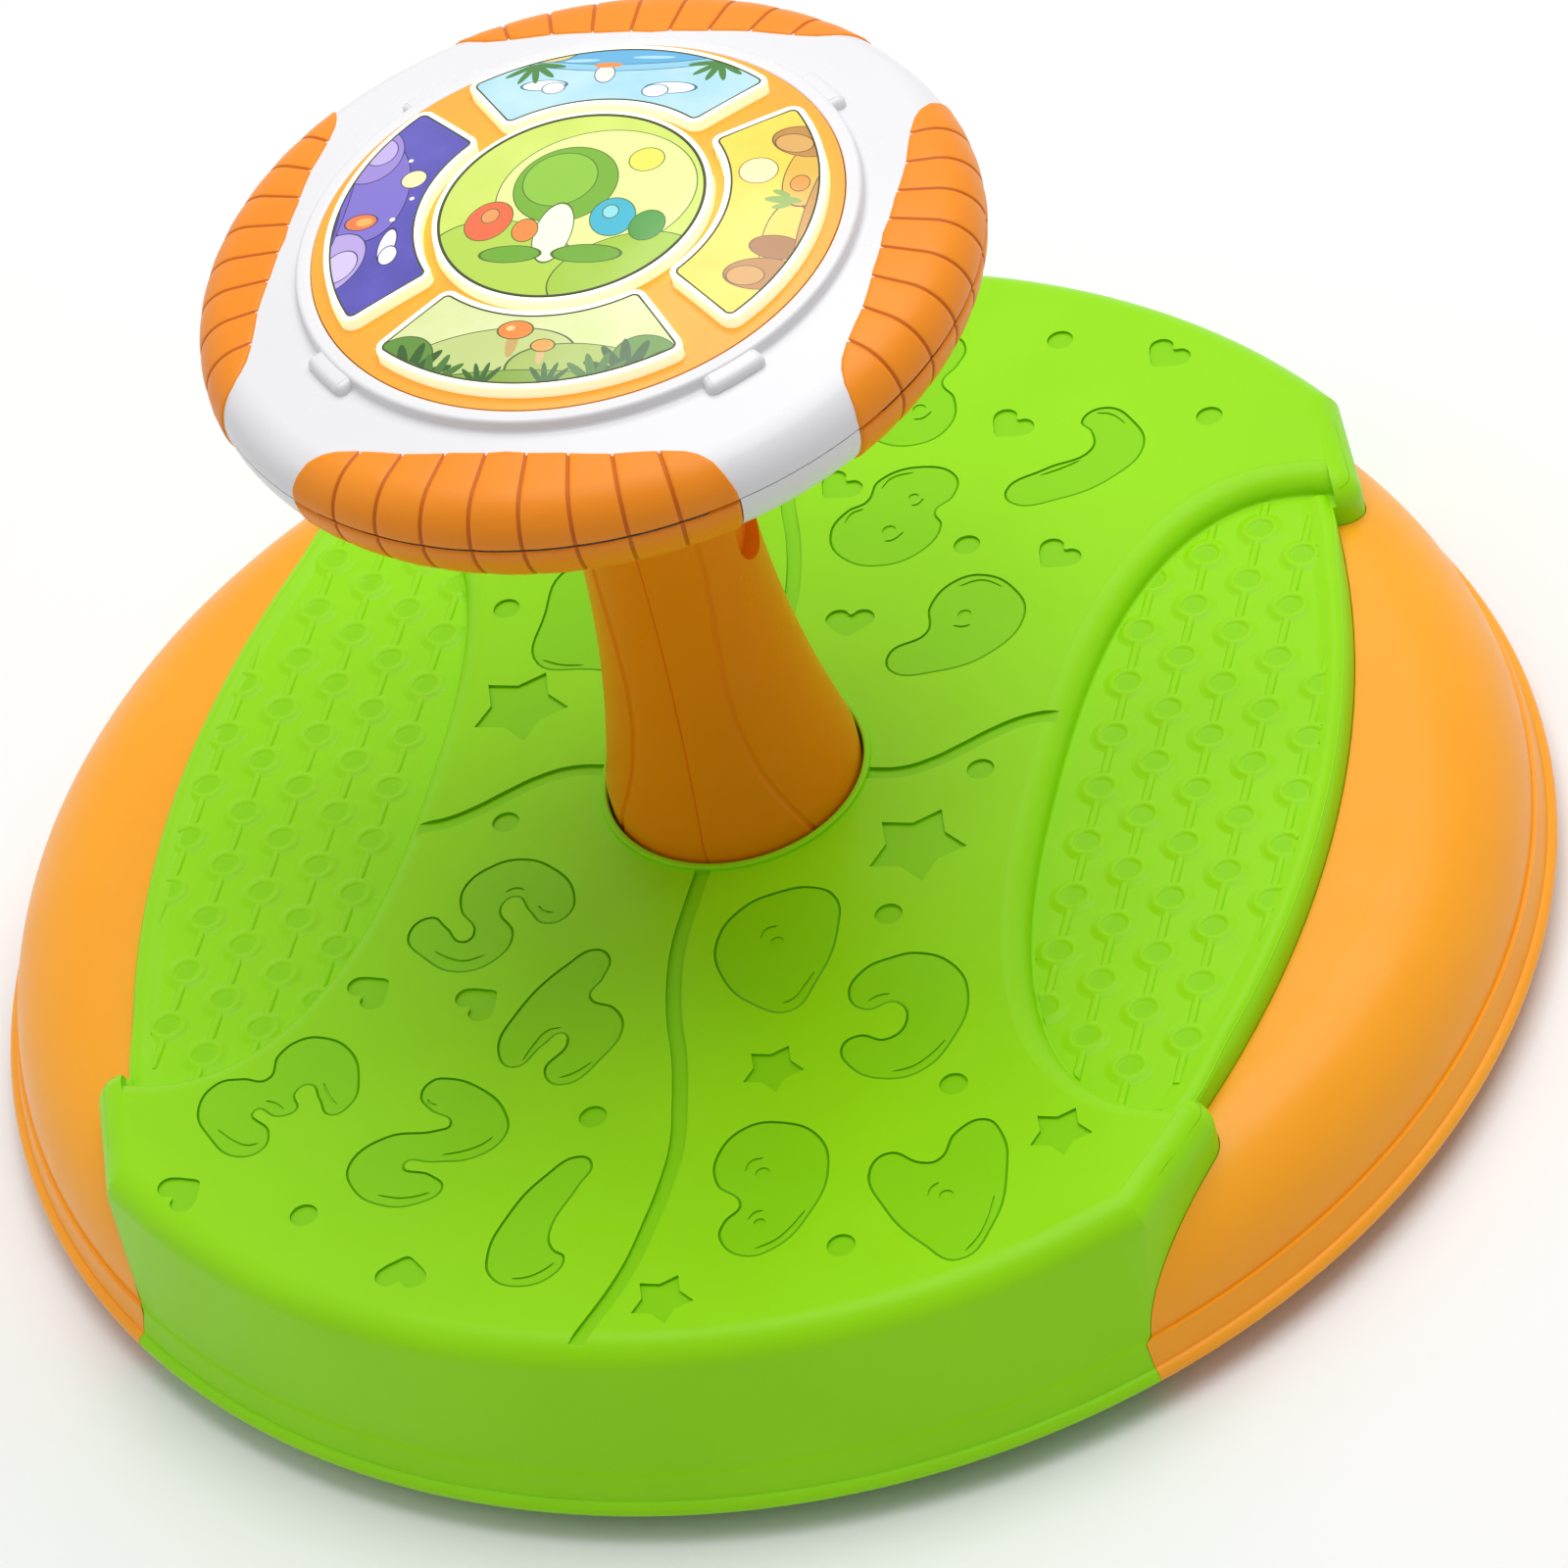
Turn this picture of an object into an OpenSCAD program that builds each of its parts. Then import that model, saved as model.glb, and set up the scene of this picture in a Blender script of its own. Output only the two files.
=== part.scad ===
// Toddler spinning seat: a seat deck that turns round a fixed column with a hand wheel.
// Millimetres. +Z is up, the floor is z = 0, the footrests lie on X and the front is -Y.

/* [Seat] */
// Radius of the seat at its lip
lip_r = 225; // [215:1:250]
// Radius of the bead round the lip
lip_bead_r = 2.4; // [1.8:0.1:3]
// Room between the floor and the lip
lip_gap = 8.5; // [7:0.5:10]
// Height of the ledge above the floor
ledge_h = 21.3; // [19:0.1:23]
// How far the ledge stands in from the lip
ledge_in = 4.4; // [3:0.1:6]
// Depth of the step at the ledge
ledge_step = 1.1; // [0.6:0.1:2]
// Height of the deck above the floor
deck_h = 64; // [62:0.5:72]
// Radius of the deck's rounded edge
deck_edge_r = 9; // [8:0.5:12]
// Slope of the skirt from upright, in degrees
skirt_draft = 7; // [6:0.5:9]
// Wall of the deck and the side covers
seat_wall = 3; // [2.5:0.1:3.5]
// Height of the side covers above the floor
cover_h = 50; // [49:0.5:52]
// Radius of the side covers' rounded edge
cover_edge_r = 30; // [26:0.5:30]
// Angle of the seam between deck and side cover, from X, in degrees
seam_angle = 49.8; // [48:0.1:52]
// Gap between a side cover and the deck
cover_gap = 0.2; // [0.1:0.05:0.5]

/* [Footrests] */
// Depth of the footrests below the deck
rest_depth = 7; // [5:0.5:8]
// Width of a side cover at its middle
cover_w = 54; // [49:1:57]
// Width of a footrest at its middle
rest_w = 79; // [72:1:84]
// How far the tips of a footrest lie in from the lip
tip_in = 75; // [71:1:79]
// Tips of a footrest, from the centre along Y
tip_y = 120; // [114:1:126]
// Radius of the rounded deck corner beside each tip
nose_r = 8; // [6:0.5:9]
// How full the inner edge's curve is
rest_power = 2.5; // [2:0.1:3]

/* [Base and bearing] */
// Radius of the floor disc
base_r = 165; // [150:1:166]
// Thickness of the floor disc
base_t = 4; // [3:0.5:5]
// Height of the rim round the floor disc
base_rim_h = 11; // [6:0.5:12]
// Thickness of the rim round the floor disc
base_rim_t = 3; // [2:0.5:4]
// Stand of the rubber feet below the disc
foot_h = 3; // [2:0.5:4]
// Radius of a rubber foot
foot_r = 12; // [8:0.5:14]
// Depth of the seats that hold the feet
foot_seat = 1.5; // [1:0.1:2]
// Number of rubber feet
foot_count = 6; // [4:1:8]
// Radius of the hub that the seat turns on
hub_r = 30; // [27:0.5:31]
// Wall of the hub
hub_wall = 4; // [3:0.5:5]
// Thickness of the hub's top
hub_cap_t = 4; // [3:0.5:5]
// Running clearance of the slip bush on the hub
bush_clear = 0.06; // [0.03:0.01:0.1]
// Wall of the slip bush
bush_wall = 3; // [2:0.1:3]
// Thickness of the bush's flange
bush_flange_t = 1.5; // [1:0.1:2]
// Radius of the ball circle
race_r = 120; // [114:1:124]
// Radius of a ball
ball_r = 6; // [5:0.5:6]
// Number of balls
ball_count = 18; // [12:1:24]
// Width of a race ring
race_w = 14; // [10:0.5:16]
// Thickness of a race ring
race_t = 3; // [2:0.5:3]
// Thickness of the ball cage
cage_t = 4; // [3:0.5:5]

/* [Column] */
// Radius of the column's shaft
column_r = 24.6; // [23:0.1:26]
// Radius of the column's foot
column_foot_r = 36; // [35:0.5:38]
// Radius of the flare's curve
flare_r = 398; // [360:1:440]
// Height at which the flare starts
flare_h = 165; // [155:1:175]
// Wall of the column
column_wall = 3; // [2.5:0.1:3.5]
// Gap between the column's foot and the deck's collar
collar_gap = 0.8; // [0.5:0.1:1.2]
// Wall of the deck's collar
collar_wall = 2.1; // [1.8:0.1:3]
// Height of the collar above the deck
collar_h = 1.3; // [0.8:0.1:2]
// Width of the screw pockets at the top of the column
pocket_w = 16.8; // [14:0.2:18]
// Depth of the screw pockets
pocket_d = 4.1; // [3:0.1:4.5]
// Height of the lower end of the screw pockets
pocket_foot_h = 150; // [145:1:156]

/* [Wheel] */
// Radius of the hand wheel
wheel_r = 105.6; // [100:0.1:112]
// Height of the wheel's parting line
wheel_h = 251.5; // [240:0.5:265]
// Radius of the rim above the parting line
rim_top_r = 12; // [10:0.5:13]
// Radius of the rim below the parting line
rim_low_r = 17.5; // [16.5:0.5:19]
// Slope of the wheel's top, in degrees
rim_slope = 6.8; // [5:0.1:8]
// Wall of the wheel's shells
wheel_wall = 3; // [2.5:0.1:3]
// Width of the raised ring round the panel
ring_w = 4.3; // [3.5:0.1:5]
// Height of the raised ring
ring_h = 3.6; // [3:0.1:4]
// Half angle of a grip pad, in degrees
grip_half = 35; // [30:0.5:37]
// Radius at which a grip pad starts
grip_in_r = 82; // [81:0.5:86]
// Depth of the grip pads in the shells
grip_sink = 1.4; // [1:0.1:1.6]
// How far the grip pads stand out of the shells
grip_proud = 0.6; // [0.3:0.1:1]

/* [Panel] */
// Radius of the panel
bezel_r = 71.8; // [71.5:0.1:73]
// Thickness of the panel
bezel_t = 2.5; // [2:0.1:2.6]
// Radius of the panel's domed face
crown_r = 550; // [500:1:700]
// Radius of the centre button
tile_hub_r = 37.6; // [36:0.1:38]
// Inner radius of the four arc buttons
tile_in_r = 41; // [41:0.1:43]
// Outer radius of the four arc buttons
tile_out_r = 67.6; // [64:0.1:67.8]
// Half angle of an arc button, in degrees
tile_half = 39.5; // [36:0.5:40.5]
// Corner radius of an arc button
tile_corner_r = 3.5; // [2.5:0.1:4.5]
// How far the buttons stand out of the panel
tile_proud = 3.1; // [2.6:0.1:4]
// Travel of the buttons
tile_travel = 2; // [1:0.1:2]
// Wall of the buttons
tile_wall = 2; // [1.5:0.1:2.2]
// Margin of a button round its printed face
label_margin = 1.5; // [1:0.1:2.5]
// Thickness of the printed faces
label_t = 0.3; // [0.2:0.05:0.5]

/* [Electronics] */
// Diameter of a battery cell
cell_d = 14.5; // [14:0.1:14.6]
// Length of a battery cell without its nub
cell_l = 49.2; // [48:0.1:50]
// Number of battery cells
cell_count = 3; // [2:1:3]
// Radius of the speaker
speaker_r = 20; // [16:0.5:22]
// Travel of the power switch
switch_travel = 6; // [4:0.5:7]

/* [Hidden] */
$fn = 128;
// Overrun of every cut
cut = 1;
// Thickness that joins a rib or boss into its wall
weld = 1;
arc_steps = 24;

// Seat outline
seam_y = lip_r * sin(seam_angle);
ledge_r = lip_r - ledge_in;
skirt_r = ledge_r - ledge_step;
rest_z = deck_h - rest_depth;
rest_out_x = lip_r - cover_w;
rest_in_x = rest_out_x - rest_w;
tip_x = lip_r - tip_in;
rest_arc_r = (tip_y * tip_y + (rest_out_x - tip_x) * (rest_out_x - tip_x)) / (rest_out_x - tip_x) / 2;
rest_arc_x = rest_out_x - rest_arc_r;
far_share = 1.3;

// Rounded deck corner beside a footrest tip, and the straight side from it to the ledge
nose_side = 0.5;
nose_back = 2.5;
nose_at = [tip_x + nose_side, tip_y + nose_back];
ledge_at = ledge_r * [cos(seam_angle), sin(seam_angle)];
side_run = ledge_at - nose_at;
side_turn = atan2(side_run[1], side_run[0]) - acos(nose_r / norm(side_run));
side_out = [cos(side_turn), sin(side_turn)];
seam_out = [sin(seam_angle), -cos(seam_angle)];

// Heights of the bearing stack, from the floor up
plate_z = foot_h;
plate_top = plate_z + base_t;
race_seat_h = 2;
race_z = plate_top + race_seat_h;
ball_play = 0.05;
ball_z = race_z + race_t + ball_play + ball_r;
upper_race_z = ball_z + ball_r + ball_play;
race_rib_z = upper_race_z + race_t;
race_rib_w = 8;
cage_w = 20;
cage_play = 0.4;
cage_in_r = race_r - cage_w / 2;
ball_hole_play = 0.3;
guide_t = 2.7;
guide_h = ball_z + cage_t / 2;

// Hub and the deck's well round the column's foot
well_r = column_foot_r + collar_gap;
collar_r = well_r + collar_wall;
well_depth = 16;
shelf_z = deck_h - well_depth;
shelf_t = 4;
bush_in_r = hub_r + bush_clear;
bush_r = bush_in_r + bush_wall;
bush_flange_r = well_r - collar_gap;
sleeve_wall = 3.5;
sleeve_gap = 9;
sleeve_z = plate_top + sleeve_gap;
bush_play = 0.2;
column_foot_z = shelf_z + bush_flange_t + bush_play;
socket_h = 10.3;
hub_top_z = column_foot_z + socket_h;
hub_vent_r = 8;
base_rib_count = 8;
base_rib_t = 3;
base_rib_gap = 8;
base_rib_in_r = bush_r + sleeve_wall + base_rib_gap;
base_rib_out_r = cage_in_r - guide_t;
deck_rib_count = 12;
deck_rib_t = 2.5;
deck_rib_h = 9;
deck_rib_in = 25;
foot_edge = 20;

// Fasteners
screw_r = 1.5;
screw_head_r = 3.5;
screw_head_h = 2.4;
screw_hole_r = 1.9;
head_play = 0.2;
boss_r = 4.5;

// Screws of the base and of the side covers
base_screw_r = 2;
base_screw_hole_r = 2.2;
base_screw_head_r = 4;
base_screw_l = 16;
base_screw_circle = hub_r - hub_wall - base_screw_head_r - base_screw_hole_r;
column_floor_t = 4;
inner_foot_z = hub_top_z + column_floor_t;
column_boss_h = 12;
tab_t = 3;
tab_w = 12;
tab_z = race_rib_z - tab_t;
cover_boss_in = 34;
cover_boss_r = lip_r - cover_boss_in;
cover_boss_angles = [-26, 0, 26];
cover_screw_l = 14;

// Column top and the wheel's stem
flare_sink = 0.15;
wheel_z = wheel_h - rim_low_r;
pocket_floor_t = 3;
stem_r = column_r - pocket_d - pocket_floor_t;
stem_wall = 5;
stem_lift = 10;
stem_l = wheel_z - pocket_foot_h - stem_lift;
pad_margin = 3;
stem_screw_l = 9;
stem_screw_shares = [0.3, 0.75];

// Wheel
rim_top_x = wheel_r - rim_top_r;
rim_low_x = wheel_r - rim_low_r;
bezel_fit = 0.2;
bezel_hole_r = bezel_r + bezel_fit;
ring_r = bezel_hole_r + ring_w;
ring_z = top_z(ring_r) + ring_h;
ring_bead_r = 1.2;
grip_low_in = 2;
lug_half = 6;
lug_w = 2.4;
lug_drop = 1.2;
floor_z = wheel_z + wheel_wall;
wheel_screw_in = 5.5;
wheel_screw_circle = rim_low_x - wheel_screw_in;
wheel_screw_drop = 6.5;
wheel_screw_l = 13;

// Panel and buttons
bezel_rim_h = 3.6;
bezel_rim_t = 1.6;
seat_z = ring_z - bezel_rim_h;
crown_top = ring_z + crown_drop(bezel_r);
tile_play = 0.4;
tile_top_t = 2.5;
flange_w = 1.1;
flange_t = 1.5;
flange_play = 0.1;
flange_z = ring_z - bezel_t - flange_play - flange_t;
plunger_r = 4;
dome_seat = 1.6;
dome_h = tile_travel + dome_seat;
dome_r = 6;
dome_top_r = 4.2;
board_gap = 2.9;
board_t = 1.6;
board_z = flange_z - board_gap - dome_h;
board_r = 64;
board_screw_in = 6;
board_screw_l = 8;
post_r = 3.5;
tile_mid_r = (tile_in_r + tile_out_r) / 2;
led_r = 2.5;
led_h = 3.8;
led_angle = 22;
led_count = 4;
led_hub_share = 0.62;

// Battery box, speaker and switch
cell_play = 0.3;
cell_gap = 0.7;
nub_r = 2.75;
nub_l = 1.3;
contact_t = 0.5;
contact_reach = 1.85;
box_wall = 2;
box_column_gap = 4.6;
box_in_y = column_r + box_column_gap;
box_l = cell_l + nub_l + 2 * contact_reach + 2 * contact_t;
box_w = cell_count * (cell_d + cell_gap) + cell_play;
box_h = cell_d + 2 * cell_play;
box_y = box_in_y + box_w / 2;
door_gap = 0.2;
door_rebate = 0.8;
ear_w = 14;
ear_l = 10;
ear_screw_in = 5;
bridge_t = 3;
bridge_margin = 2;
door_boss_h = 6;
door_boss_r = 4;
door_screw_r = 1.3;
door_head_r = 2.8;
door_head_h = 1.7;
door_sink = 1.8;
door_screw_l = 8;
speaker_y = 56;
speaker_frame_t = 3;
speaker_magnet_r = 11;
speaker_magnet_h = 8;
speaker_wall = 1.7;
speaker_wall_h = 6;
grille_r = 1.5;
grille_rings = 3;
grille_pitch = 4.6;
grille_first = 6;
switch_x = 55;
knob_l = 4;
knob_w = 4;
knob_out = 1.2;
knob_play = 0.3;
slide_l = 8;
slide_w = 8;
slide_t = 1.6;
case_wall = 1.8;
case_h = 7;

// Colours
green = "#8fd01f";
orange = "#ff9d24";
white = "#f3f3f4";
grey = "#4a4d50";
steel = "#b9bcc0";

// Height of the wheel's sloping top at radius r
function top_z(r) = wheel_h + rim_top_r * cos(rim_slope)
    + (rim_top_x + rim_top_r * sin(rim_slope) - r) * tan(rim_slope);

// Drop of the panel's dome at radius r
function crown_drop(r) = crown_r - sqrt(crown_r * crown_r - r * r);

// Outer edge of a footrest, grown by g, from its front tip to its back tip
function rest_arc(g) = let (half = asin(tip_y / (rest_arc_r + g)))
    [for (i = [0 : arc_steps]) let (a = half * (2 * i / arc_steps - 1))
        [rest_arc_x + (rest_arc_r + g) * cos(a), (rest_arc_r + g) * sin(a)]];

// Inner edge of a footrest, grown by g, from its back tip to its front tip
function rest_inner(g) = [for (i = [1 : 2 * arc_steps - 1]) let (a = 90 - 90 * i / arc_steps)
    [tip_x - (tip_x - rest_in_x + g) * pow(cos(a), 2 / rest_power),
        (tip_y + g) * sign(sin(a)) * pow(abs(sin(a)), 2 / rest_power)]];

// Side of the deck at the right cover's front or back end, grown by g, from the rounded corner out
function side_edge(g, end) = [for (p = [nose_at + (nose_r - g) * side_out, ledge_at - g * side_out,
    far_share * lip_r * [cos(seam_angle), sin(seam_angle)] - g * seam_out]) [p[0], end * p[1]]];

function reversed(points) = [for (i = [len(points) - 1 : -1 : 0]) points[i]];

// Distance from the centre to the outer edge of a footrest, in the direction a
function rest_reach(a) = rest_arc_x * cos(a)
    + sqrt(rest_arc_r * rest_arc_r - rest_arc_x * rest_arc_x * sin(a) * sin(a));

// Plain shapes
module disc(r, z, h) {
    translate([0, 0, z]) cylinder(r = r, h = h);
}

module tube(r, inner_r, z, h) {
    difference() {
        disc(r, z, h);
        disc(inner_r, z - cut, h + 2 * cut);
    }
}

module block(size_x, size_y, z, h) {
    translate([-size_x / 2, -size_y / 2, z]) cube([size_x, size_y, h]);
}

module ring_of(count, r) {
    for (i = [0 : count - 1]) rotate([0, 0, 360 * i / count]) translate([r, 0, 0]) children();
}

module diagonals(r) {
    rotate([0, 0, 45]) ring_of(4, r) children();
}

// A screw that points up, with its head's bearing face at z = 0
module screw(r, head_r, head_h, l) {
    translate([0, 0, -head_h]) cylinder(r = head_r, h = head_h);
    translate([0, 0, -weld]) cylinder(r = r, h = l + weld);
}

// Section of the skirt, lip and top, with its rounded edge
module seat_section(top, edge_r) {
    edge_z = top - edge_r;
    edge_x = skirt_r - (edge_r - (ledge_h - edge_z) * sin(skirt_draft)) / cos(skirt_draft);
    translate([lip_r - lip_bead_r, lip_gap + lip_bead_r]) circle(lip_bead_r);
    translate([edge_x, edge_z]) circle(edge_r);
    polygon([[0, lip_gap], [lip_r - lip_bead_r, lip_gap], [lip_r - lip_bead_r, lip_gap + 2 * lip_bead_r],
        [ledge_r, ledge_h], [skirt_r, ledge_h],
        [edge_x + edge_r * cos(skirt_draft), edge_z + edge_r * sin(skirt_draft)],
        [edge_x, edge_z], [edge_x, top], [0, top]]);
}

// Section of the hollow inside the skirt
module hollow_section(top, edge_r) {
    edge_z = top - edge_r;
    edge_x = skirt_r - (edge_r - (ledge_h - edge_z) * sin(skirt_draft)) / cos(skirt_draft);
    inner_r = edge_r - seat_wall;
    foot_x = skirt_r - seat_wall / cos(skirt_draft);
    translate([edge_x, edge_z]) circle(inner_r);
    polygon([[0, 0], [foot_x, 0], [foot_x, ledge_h],
        [edge_x + inner_r * cos(skirt_draft), edge_z + inner_r * sin(skirt_draft)],
        [edge_x, edge_z], [edge_x, top - seat_wall], [0, top - seat_wall]]);
}

// Plan of the right side cover's place, grown by g
module cover_plan(g) {
    difference() {
        polygon(concat(rest_arc(-g), side_edge(g, 1), [[lip_r * far_share, seam_y * far_share],
            [lip_r * far_share, -seam_y * far_share]], reversed(side_edge(g, -1))));
        for (s = [-1, 1]) translate([nose_at[0], s * nose_at[1]]) circle(max(nose_r - g, 0));
    }
}

// Plan of the right footrest, grown by g
module rest_plan(g) {
    polygon(concat(rest_arc(g), rest_inner(g)));
}

module both_sides() {
    children();
    rotate([0, 0, 180]) children();
}

module at_cover_bosses() {
    for (a = cover_boss_angles) rotate([0, 0, a]) translate([cover_boss_r, 0, 0]) children();
}

// The stand: floor disc, hub and bearing
module base_plate() {
    color(grey) difference() {
        union() {
            disc(base_r, plate_z, base_t);
            tube(base_r, base_r - base_rim_t, plate_z, base_t + base_rim_h);
            tube(race_r + race_w / 2, race_r - race_w / 2, plate_z, base_t + race_seat_h);
            tube(cage_in_r - cage_play, cage_in_r - cage_play - guide_t, plate_z, guide_h - plate_z);
            disc(hub_r, plate_z, hub_top_z - plate_z);
            ring_of(base_rib_count, (base_rib_out_r + base_rib_in_r) / 2)
                block(base_rib_out_r - base_rib_in_r, base_rib_t, plate_top - weld, guide_h - plate_top);
        }
        disc(hub_r - hub_wall, plate_z - cut, hub_top_z - hub_cap_t - plate_z + cut);
        disc(hub_vent_r, plate_z, hub_top_z);
        diagonals(base_screw_circle) disc(base_screw_hole_r, plate_z, hub_top_z);
        ring_of(foot_count, base_r - foot_edge) disc(foot_r, plate_z - cut, foot_seat + cut);
    }
}

module base_feet() {
    color("#2b2b2c") ring_of(foot_count, base_r - foot_edge) disc(foot_r, 0, foot_h + foot_seat);
}

module lower_race() {
    color(steel) tube(race_r + race_w / 2, race_r - race_w / 2, race_z, race_t);
}

module upper_race() {
    color(steel) tube(race_r + race_w / 2, race_r - race_w / 2, upper_race_z, race_t);
}

module thrust_balls() {
    color(steel) ring_of(ball_count, race_r) translate([0, 0, ball_z]) sphere(ball_r, $fn = 48);
}

module ball_cage() {
    color(white) difference() {
        tube(race_r + cage_w / 2, cage_in_r, ball_z - cage_t / 2, cage_t);
        ring_of(ball_count, race_r) disc(ball_r + ball_hole_play, ball_z - cage_t, 2 * cage_t);
    }
}

module base_screws() {
    color(steel) diagonals(base_screw_circle) translate([0, 0, hub_top_z - hub_cap_t])
        screw(base_screw_r, base_screw_head_r, screw_head_h, base_screw_l);
}

// The column: section of its outside, drawn in by the given inset, with its top raised by over
module column_section(inset, over) {
    difference() {
        translate([0, column_foot_z]) square([column_foot_r - inset, flare_h - column_foot_z]);
        translate([column_r - flare_sink + flare_r, flare_h]) circle(flare_r + inset, $fn = 512);
    }
    translate([0, column_foot_z]) square([column_r - inset, wheel_z - column_foot_z + over]);
}

module pocket_cut() {
    reach = column_foot_r;
    translate([column_r - pocket_d, -pocket_w / 2, pocket_foot_h + pocket_w / 2])
        cube([reach, pocket_w, wheel_z - pocket_foot_h]);
    translate([column_r - pocket_d, 0, pocket_foot_h + pocket_w / 2]) rotate([0, 90, 0])
        cylinder(d = pocket_w, h = reach);
}

module at_stem_screws() {
    for (s = stem_screw_shares)
        translate([column_r - pocket_d, 0, pocket_foot_h + s * (wheel_z - pocket_foot_h)])
            rotate([0, -90, 0]) children();
}

// What is hollow inside the column, with its floor and the pads behind the screw pockets left
module column_hollow() {
    pad_foot_z = pocket_foot_h - pad_margin;
    difference() {
        rotate_extrude() column_section(column_wall, cut);
        disc(column_foot_r, column_foot_z - cut, inner_foot_z - column_foot_z + cut);
        block(2 * column_r, pocket_w + 2 * pad_margin, pad_foot_z, wheel_z);
    }
    disc(stem_r, pad_foot_z - cut, wheel_z - pad_foot_z + 2 * cut);
}

module column_half() {
    difference() {
        intersection() {
            union() {
                difference() {
                    rotate_extrude() column_section(0, 0);
                    column_hollow();
                }
                diagonals(base_screw_circle) disc(boss_r, inner_foot_z - weld, column_boss_h);
            }
            translate([0, -column_foot_r, 0]) cube([2 * column_foot_r, 2 * column_foot_r, wheel_z + cut]);
        }
        disc(hub_r, column_foot_z - cut, socket_h + cut);
        pocket_cut();
        at_stem_screws() translate([0, 0, -cut]) cylinder(r = screw_hole_r, h = pocket_d + stem_wall);
        diagonals(base_screw_circle) disc(base_screw_r, hub_top_z - cut, base_screw_l - hub_cap_t + 2 * cut);
    }
}

module column_right() {
    color(orange) column_half();
}

module column_left() {
    color(orange) rotate([0, 0, 180]) column_half();
}

module stem_screws() {
    color(steel) both_sides() at_stem_screws() screw(screw_r, screw_head_r, screw_head_h, stem_screw_l);
}

// The wheel: section below the parting line, grown by g
module low_section(g) {
    intersection() {
        union() {
            translate([0, wheel_z - g]) square([rim_low_x, rim_low_r + g]);
            translate([rim_low_x, wheel_h]) circle(rim_low_r + g);
        }
        translate([0, wheel_z - rim_low_r]) square([wheel_r + rim_low_r, 2 * rim_low_r]);
    }
}

// The wheel: section above the parting line, grown by g
module top_section(g) {
    edge_x = rim_top_x + (rim_top_r + g) * sin(rim_slope);
    edge_z = wheel_h + (rim_top_r + g) * cos(rim_slope);
    polygon([[0, wheel_h], [rim_top_x, wheel_h], [edge_x, edge_z], [0, edge_z + edge_x * tan(rim_slope)]]);
    intersection() {
        translate([rim_top_x, wheel_h]) circle(rim_top_r + g);
        translate([rim_top_x, wheel_h]) square(rim_top_r + rim_low_r);
    }
}

module sectors() {
    for (i = [0 : 3]) rotate([0, 0, 90 * i - grip_half]) rotate_extrude(angle = 2 * grip_half) children();
}

module grip_top_section(g) {
    difference() {
        top_section(g);
        top_section(-grip_sink);
        square([grip_in_r, 2 * wheel_h]);
    }
}

module grip_low_section(g) {
    difference() {
        low_section(g);
        low_section(-grip_sink);
        square([rim_low_x + grip_low_in, 2 * wheel_h]);
    }
}

// Section of the seat cut for the lower grip pads
module grip_low_seat() {
    difference() {
        translate([rim_low_x, wheel_h]) circle(rim_low_r + cut);
        translate([rim_low_x, wheel_h]) circle(rim_low_r - grip_sink);
        square([rim_low_x + grip_low_in, 2 * wheel_h]);
    }
}

module at_wheel_screws() {
    diagonals(wheel_screw_circle) children();
}

module at_posts() {
    diagonals(board_r - board_screw_in) children();
}

module battery_place() {
    translate([0, box_y, 0]) children();
}

module door_plan(g) {
    square([box_l + 2 * g, box_w + 2 * g], center = true);
    translate([-ear_w / 2 - g, 0]) square([ear_w + 2 * g, box_w / 2 + ear_l + g]);
}

module grille() {
    cylinder(r = grille_r, h = wheel_wall + 2 * cut);
    for (k = [1 : grille_rings]) ring_of(grille_first * k, k * grille_pitch)
        cylinder(r = grille_r, h = wheel_wall + 2 * cut);
}

module wheel_lower() {
    screw_z = wheel_h - wheel_screw_drop;
    color(white) difference() {
        union() {
            rotate_extrude() difference() {
                low_section(0);
                translate([0, floor_z]) square([rim_low_x, rim_low_r]);
                translate([rim_low_x, wheel_h]) circle(rim_low_r - wheel_wall);
            }
            disc(stem_r, wheel_z - stem_l, stem_l + weld);
            at_wheel_screws() disc(boss_r, wheel_z, rim_low_r);
            at_posts() disc(post_r, floor_z - weld, board_z - board_t - floor_z + weld);
            battery_place() {
                block(box_l + 2 * box_wall, box_w + 2 * box_wall, floor_z - weld,
                    box_h + box_wall + weld);
                translate([0, box_w / 2 + ear_l / 2, 0])
                    block(ear_w + 2 * bridge_margin, ear_l + 2 * bridge_margin, floor_z - weld,
                        bridge_t + weld);
                translate([0, box_w / 2 + ear_screw_in, 0])
                    disc(door_boss_r, floor_z, bridge_t + door_boss_h);
            }
            translate([0, -speaker_y, 0])
                tube(speaker_r + speaker_wall, speaker_r, floor_z - weld, speaker_wall_h + weld);
        }
        disc(stem_r - stem_wall, wheel_z - stem_l - cut, stem_l - wheel_wall + cut);
        both_sides() at_stem_screws() cylinder(r = screw_r, h = stem_screw_l);
        at_wheel_screws() {
            disc(screw_head_r + head_play, wheel_z - cut, screw_z - wheel_z + cut);
            disc(screw_hole_r, wheel_z, rim_low_r + cut);
        }
        at_posts() disc(screw_r, floor_z + wheel_wall, board_z);
        battery_place() {
            block(box_l, box_w, wheel_z - cut, wheel_wall + box_h + cut);
            translate([0, 0, wheel_z - cut]) linear_extrude(wheel_wall + cut) door_plan(door_rebate);
            translate([0, box_w / 2 + ear_screw_in, 0])
                disc(door_screw_r, wheel_z, wheel_wall + door_screw_l);
        }
        translate([0, -speaker_y, wheel_z - cut]) grille();
        translate([switch_x, 0, 0])
            block(knob_l + switch_travel + 2 * knob_play, knob_w + 2 * knob_play, wheel_z - cut,
                wheel_wall + 2 * cut);
        sectors() grip_low_seat();
    }
}

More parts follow.
